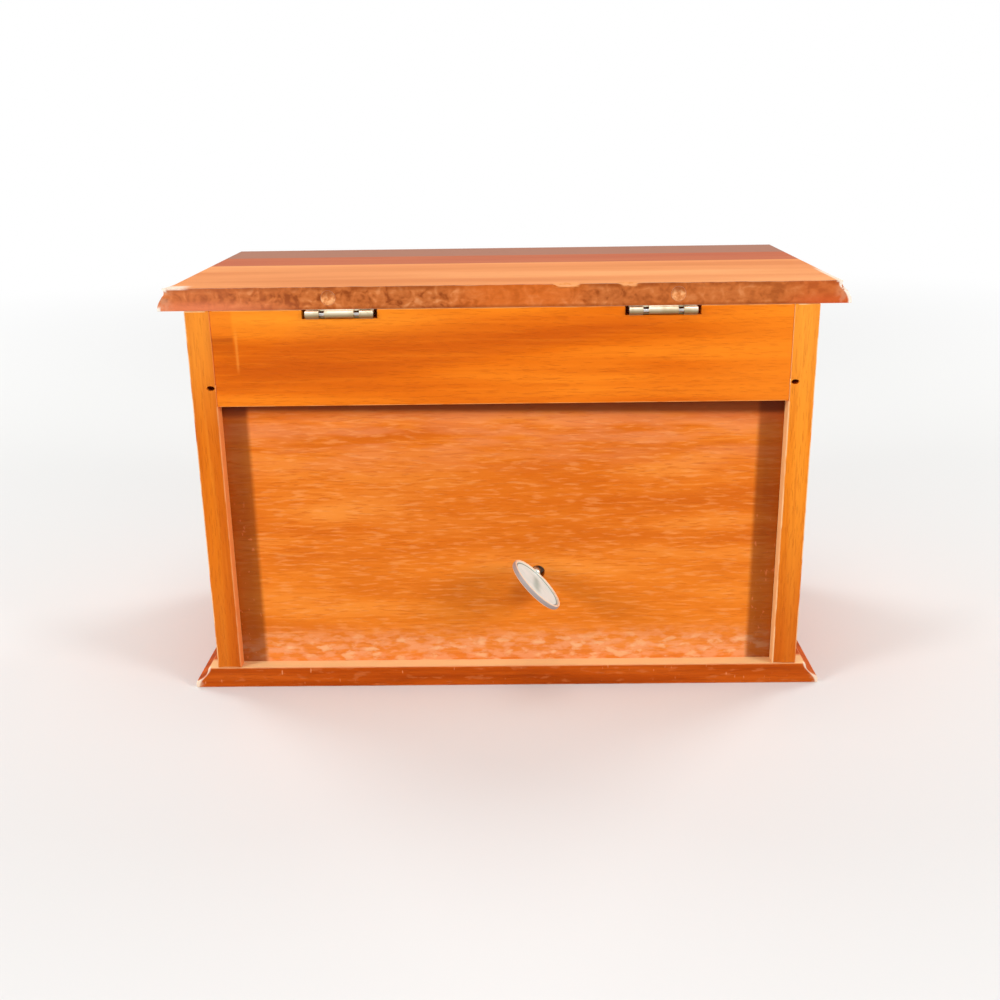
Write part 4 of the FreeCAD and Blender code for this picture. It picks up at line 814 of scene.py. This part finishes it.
def velvet_pad(node):
    """A thin velvet pad, made from its solid, with soft edges and a slightly uneven top."""
    pad = object_from(merged(node), node + "_velvet")
    remeshed(pad, 0.9 * mm)
    low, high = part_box(node)
    for vert in pad.data.vertices:
        share = (vert.co.z - low.z) / (high.z - low.z)
        edge = min(vert.co.x - low.x, high.x - vert.co.x, vert.co.y - low.y, high.y - vert.co.y) / mm
        drop = 0.55 * math.exp(-edge / 0.9) + 0.16 * (0.5 + noise.noise(vert.co * 60))
        vert.co.z -= max(share, 0) * drop * mm
    pad.data.polygons.foreach_set("use_smooth", [True] * len(pad.data.polygons))
    pad.data.materials.clear()
    pad.data.materials.append(velvet_finish.owner)
    seat(pad, node)


for lining in ("compartment_lining", "lower_drawer_lining", "upper_drawer_lining"):
    velvet_pad(lining)


# The ring rolls: six foam rolls covered in the same velvet, side by side, which grip rings between them.
# Each is a closed tube of cloth, swelled by its filling, with its ends tucked in.

swell_scale = 10.0
swell_steps = 20
roll_cap = 0.7


def swelled(made, most, low):
    """Lets a closed skin swell as a filled cushion does, no point by more than most and none below low."""
    rest = [vert.co.copy() for vert in made.data.vertices]
    made.data.transform(Matrix.Scale(swell_scale, 4))
    cloth = made.modifiers.new("swell", "CLOTH")
    cloth.settings.quality = 5
    cloth.settings.use_pressure = True
    cloth.settings.uniform_pressure_force = 4.0
    cloth.settings.effector_weights.gravity = 0.0
    cloth.point_cache.frame_end = swell_steps
    for step in range(1, swell_steps + 1):
        scene.frame_set(step)
    full = settled(made)
    scene.frame_set(1)
    for vert, start in zip(full.vertices, rest):
        move = vert.co / swell_scale - start
        if move.length > most * mm:
            move = move.normalized() * most * mm
        vert.co = start + move
        vert.co.z = max(vert.co.z, low)
    made.data = full


rolls = []
for index, (low, high) in enumerate(solids_of("ring_rolls")):
    form = bmesh.new()
    bmesh.ops.create_cube(form, size=1.0)
    shrink = 1.2 * mm
    size = high - low - Vector((shrink, shrink, shrink / 2))
    middle = (low + high) / 2 - Vector((0, 0, shrink / 4))
    placed = Matrix.Translation(middle) @ Matrix.Diagonal((*size, 1.0))
    bmesh.ops.transform(form, matrix=placed, verts=form.verts)
    top_edges = [edge for edge in form.edges if all(vert.co.z > middle.z for vert in edge.verts)
                 and abs(edge.verts[0].co.x - edge.verts[1].co.x) > size.x / 2]
    bmesh.ops.bevel(form, geom=top_edges, offset=size.y * 0.46, offset_type="OFFSET", segments=6, profile=0.5,
                    affect="EDGES", clamp_overlap=True, material=-1)
    roll = object_from(form, f"ring_roll_{index + 1}")
    remeshed(roll, 1.6 * mm)
    swelled(roll, roll_cap, low.z)
    rolls.append(roll)
roll_form = bmesh.new()
for roll in rolls:
    roll_form.from_mesh(roll.data)
    bpy.data.objects.remove(roll)
rolls_low, rolls_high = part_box("ring_rolls")
for vert in roll_form.verts:
    to_end = min(vert.co.x - rolls_low.x, rolls_high.x - vert.co.x) / mm
    pucker = math.exp(-to_end / 2.2) * noise.noise(Vector((0, vert.co.y, vert.co.z)) * 900) * 0.35
    vert.co += Vector((0, noise.noise(vert.co * 120) * 0.12,
                       noise.noise(vert.co * 90 + Vector((7, 0, 0))) * 0.2 + pucker)) * mm
ring_rolls = object_from(roll_form, "ring_roll_cushions", 180)
ring_rolls.data.materials.append(velvet_finish.owner)
finer = ring_rolls.modifiers.new("finer", "SUBSURF")
finer.levels = 1
finer.render_levels = 1
seat(ring_rolls, "ring_rolls")


# The partition between ring rolls and tray, and the frame round the mirror, are card or thin wood
# flocked in the same colour. The mirror is glued in the frame, and its silvering is a little spotted.

eased("compartment_partition", 0.3, velvet_finish)
eased("mirror_surround", 0.3, velvet_finish, least=3.0)

mirror_finish = Finish(bpy.data.materials.new("mirror"))
spots = mirror_finish.cloud((2.2, 2.2, 2.2), 3.0, 91).fade(0.68, 0.76)
mirror_finish.give(Base_Color=mirror_finish.mix(spots * 0.4, srgb(236, 240, 240), srgb(150, 146, 138)),
                   Metallic=1.0, Roughness=0.02 + spots * 0.3)
eased("lid_mirror", 0.5, mirror_finish, segments=1)


# The drawers: fronts of the case's wood with rounded edges, and plain pale sides, backs and bottoms,
# glued and grooved together. Each front has two turned knobs.

front_finish = wood("drawer_front_wood", 0, ((176, 76, 14), (210, 98, 22), (232, 124, 42)), seed=43,
                    figure=(170, 10), line_share=0.2, streak=(26, 0.8))
worn_edges(front_finish, worn_wood, 0.5)
plain_tones = ((196, 150, 100), (224, 184, 134), (240, 208, 164))
inner_finish = wood("drawer_side_wood", 1, plain_tones, seed=47, gloss=0.5)
cross_finish = wood("drawer_back_wood", 0, plain_tones, seed=53, gloss=0.5)
for finish in (inner_finish, cross_finish):
    finish.give(Coat_Weight=0.0)
knob_finish = metal("knob_brass_finish", (232, 192, 104), (168, 124, 60), 0.22, (0.5, 6, 0.5))

for drawer in ("lower_drawer", "upper_drawer"):
    eased(drawer + "_front", 0.3, front_finish)
    for part, finish in (("left_side", inner_finish), ("right_side", inner_finish), ("back", cross_finish)):
        eased(f"{drawer}_{part}", 0.4, finish)
    nodes[drawer + "_bottom"].material_slots[0].material = cross_finish.owner
    knob_form = bmesh.new()
    for low, high in solids_of(drawer + "_knobs"):
        face = Vector(((low.x + high.x) / 2, high.y, (low.z + high.z) / 2))
        radius = (high.x - low.x) / 2 / mm
        length = (high.y - low.y) / mm
        neck = [(1.3 + 3.4 * step / 6, 2.9 + 0.9 * (1 - math.sin(math.pi * step / 6)) ** 2)
                for step in range(7)]
        head = [(8.3 - 3.3 * math.cos(turn), 3.2 + (radius - 3.2) * math.sin(turn))
                for turn in [math.radians(20 + 140 * step / 12) for step in range(13)]]
        outline = ([(0, 0), (0, 4.7), (0.25, 4.9), (1.0, 4.9), (1.2, 4.6)] + neck + head
                   + [(length - 0.25, 2.9), (length - 0.45, 2.6), (length - 0.1, 2.2), (length, 0)])
        single = bmesh.new()
        lathe(single, outline, face, (0, -1, 0), 48)
        add_to(knob_form, single)
    knobs = object_from(knob_form, drawer + "_turned_knobs", 35)
    knobs.data.materials.append(knob_finish.owner)
    seat(knobs, drawer + "_knobs")
    nodes[drawer + "_knob_screws"].material_slots[0].material = steel_finish.owner


# The music movement, shut in behind the panel: a cast bedplate, steel comb and arbors, brass barrel
# gear, cylinder and wheels, and nylon fan and pinion. It keeps its CAD shapes and gets its metals here.

zinc_finish = metal("cast_zinc_finish", (176, 172, 160), (128, 124, 114), 0.5, (1.5, 1.5, 1.5), 0.05)
brass_finish = metal("bright_brass", (226, 186, 98), (176, 136, 66), 0.24)
nylon_finish = Finish(bpy.data.materials.new("white_nylon_finish"))
nylon_cloud = nylon_finish.cloud((3, 3, 3), 2.0, 95)
nylon_finish.give(Base_Color=nylon_finish.mix(nylon_cloud, srgb(236, 232, 218), srgb(222, 216, 198)),
                  Roughness=0.4 + nylon_cloud * 0.1)
for finish, pieces in (
        (zinc_finish, ("movement_bedplate",)),
        (brass_finish, ("barrel_gear", "pinned_cylinder", "cylinder_pins", "cylinder_wheel",
                        "governor_bracket")),
        (nylon_finish, ("idler_wheel", "governor_fan")),
        (key_finish, ("spring_barrel",)),
        (steel_finish, ("hinge_pins", "stop_rod", "stop_lever", "click_spring", "winding_arbor", "mainspring",
                        "governor_worm", "cylinder_arbor", "tone_comb", "movement_bridge", "machine_screws",
                        "movement_screws"))):
    for piece in pieces:
        nodes[piece].material_slots[0].material = finish.owner


# The box of the finished model is measured, as that of the CAD model was.

low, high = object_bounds()
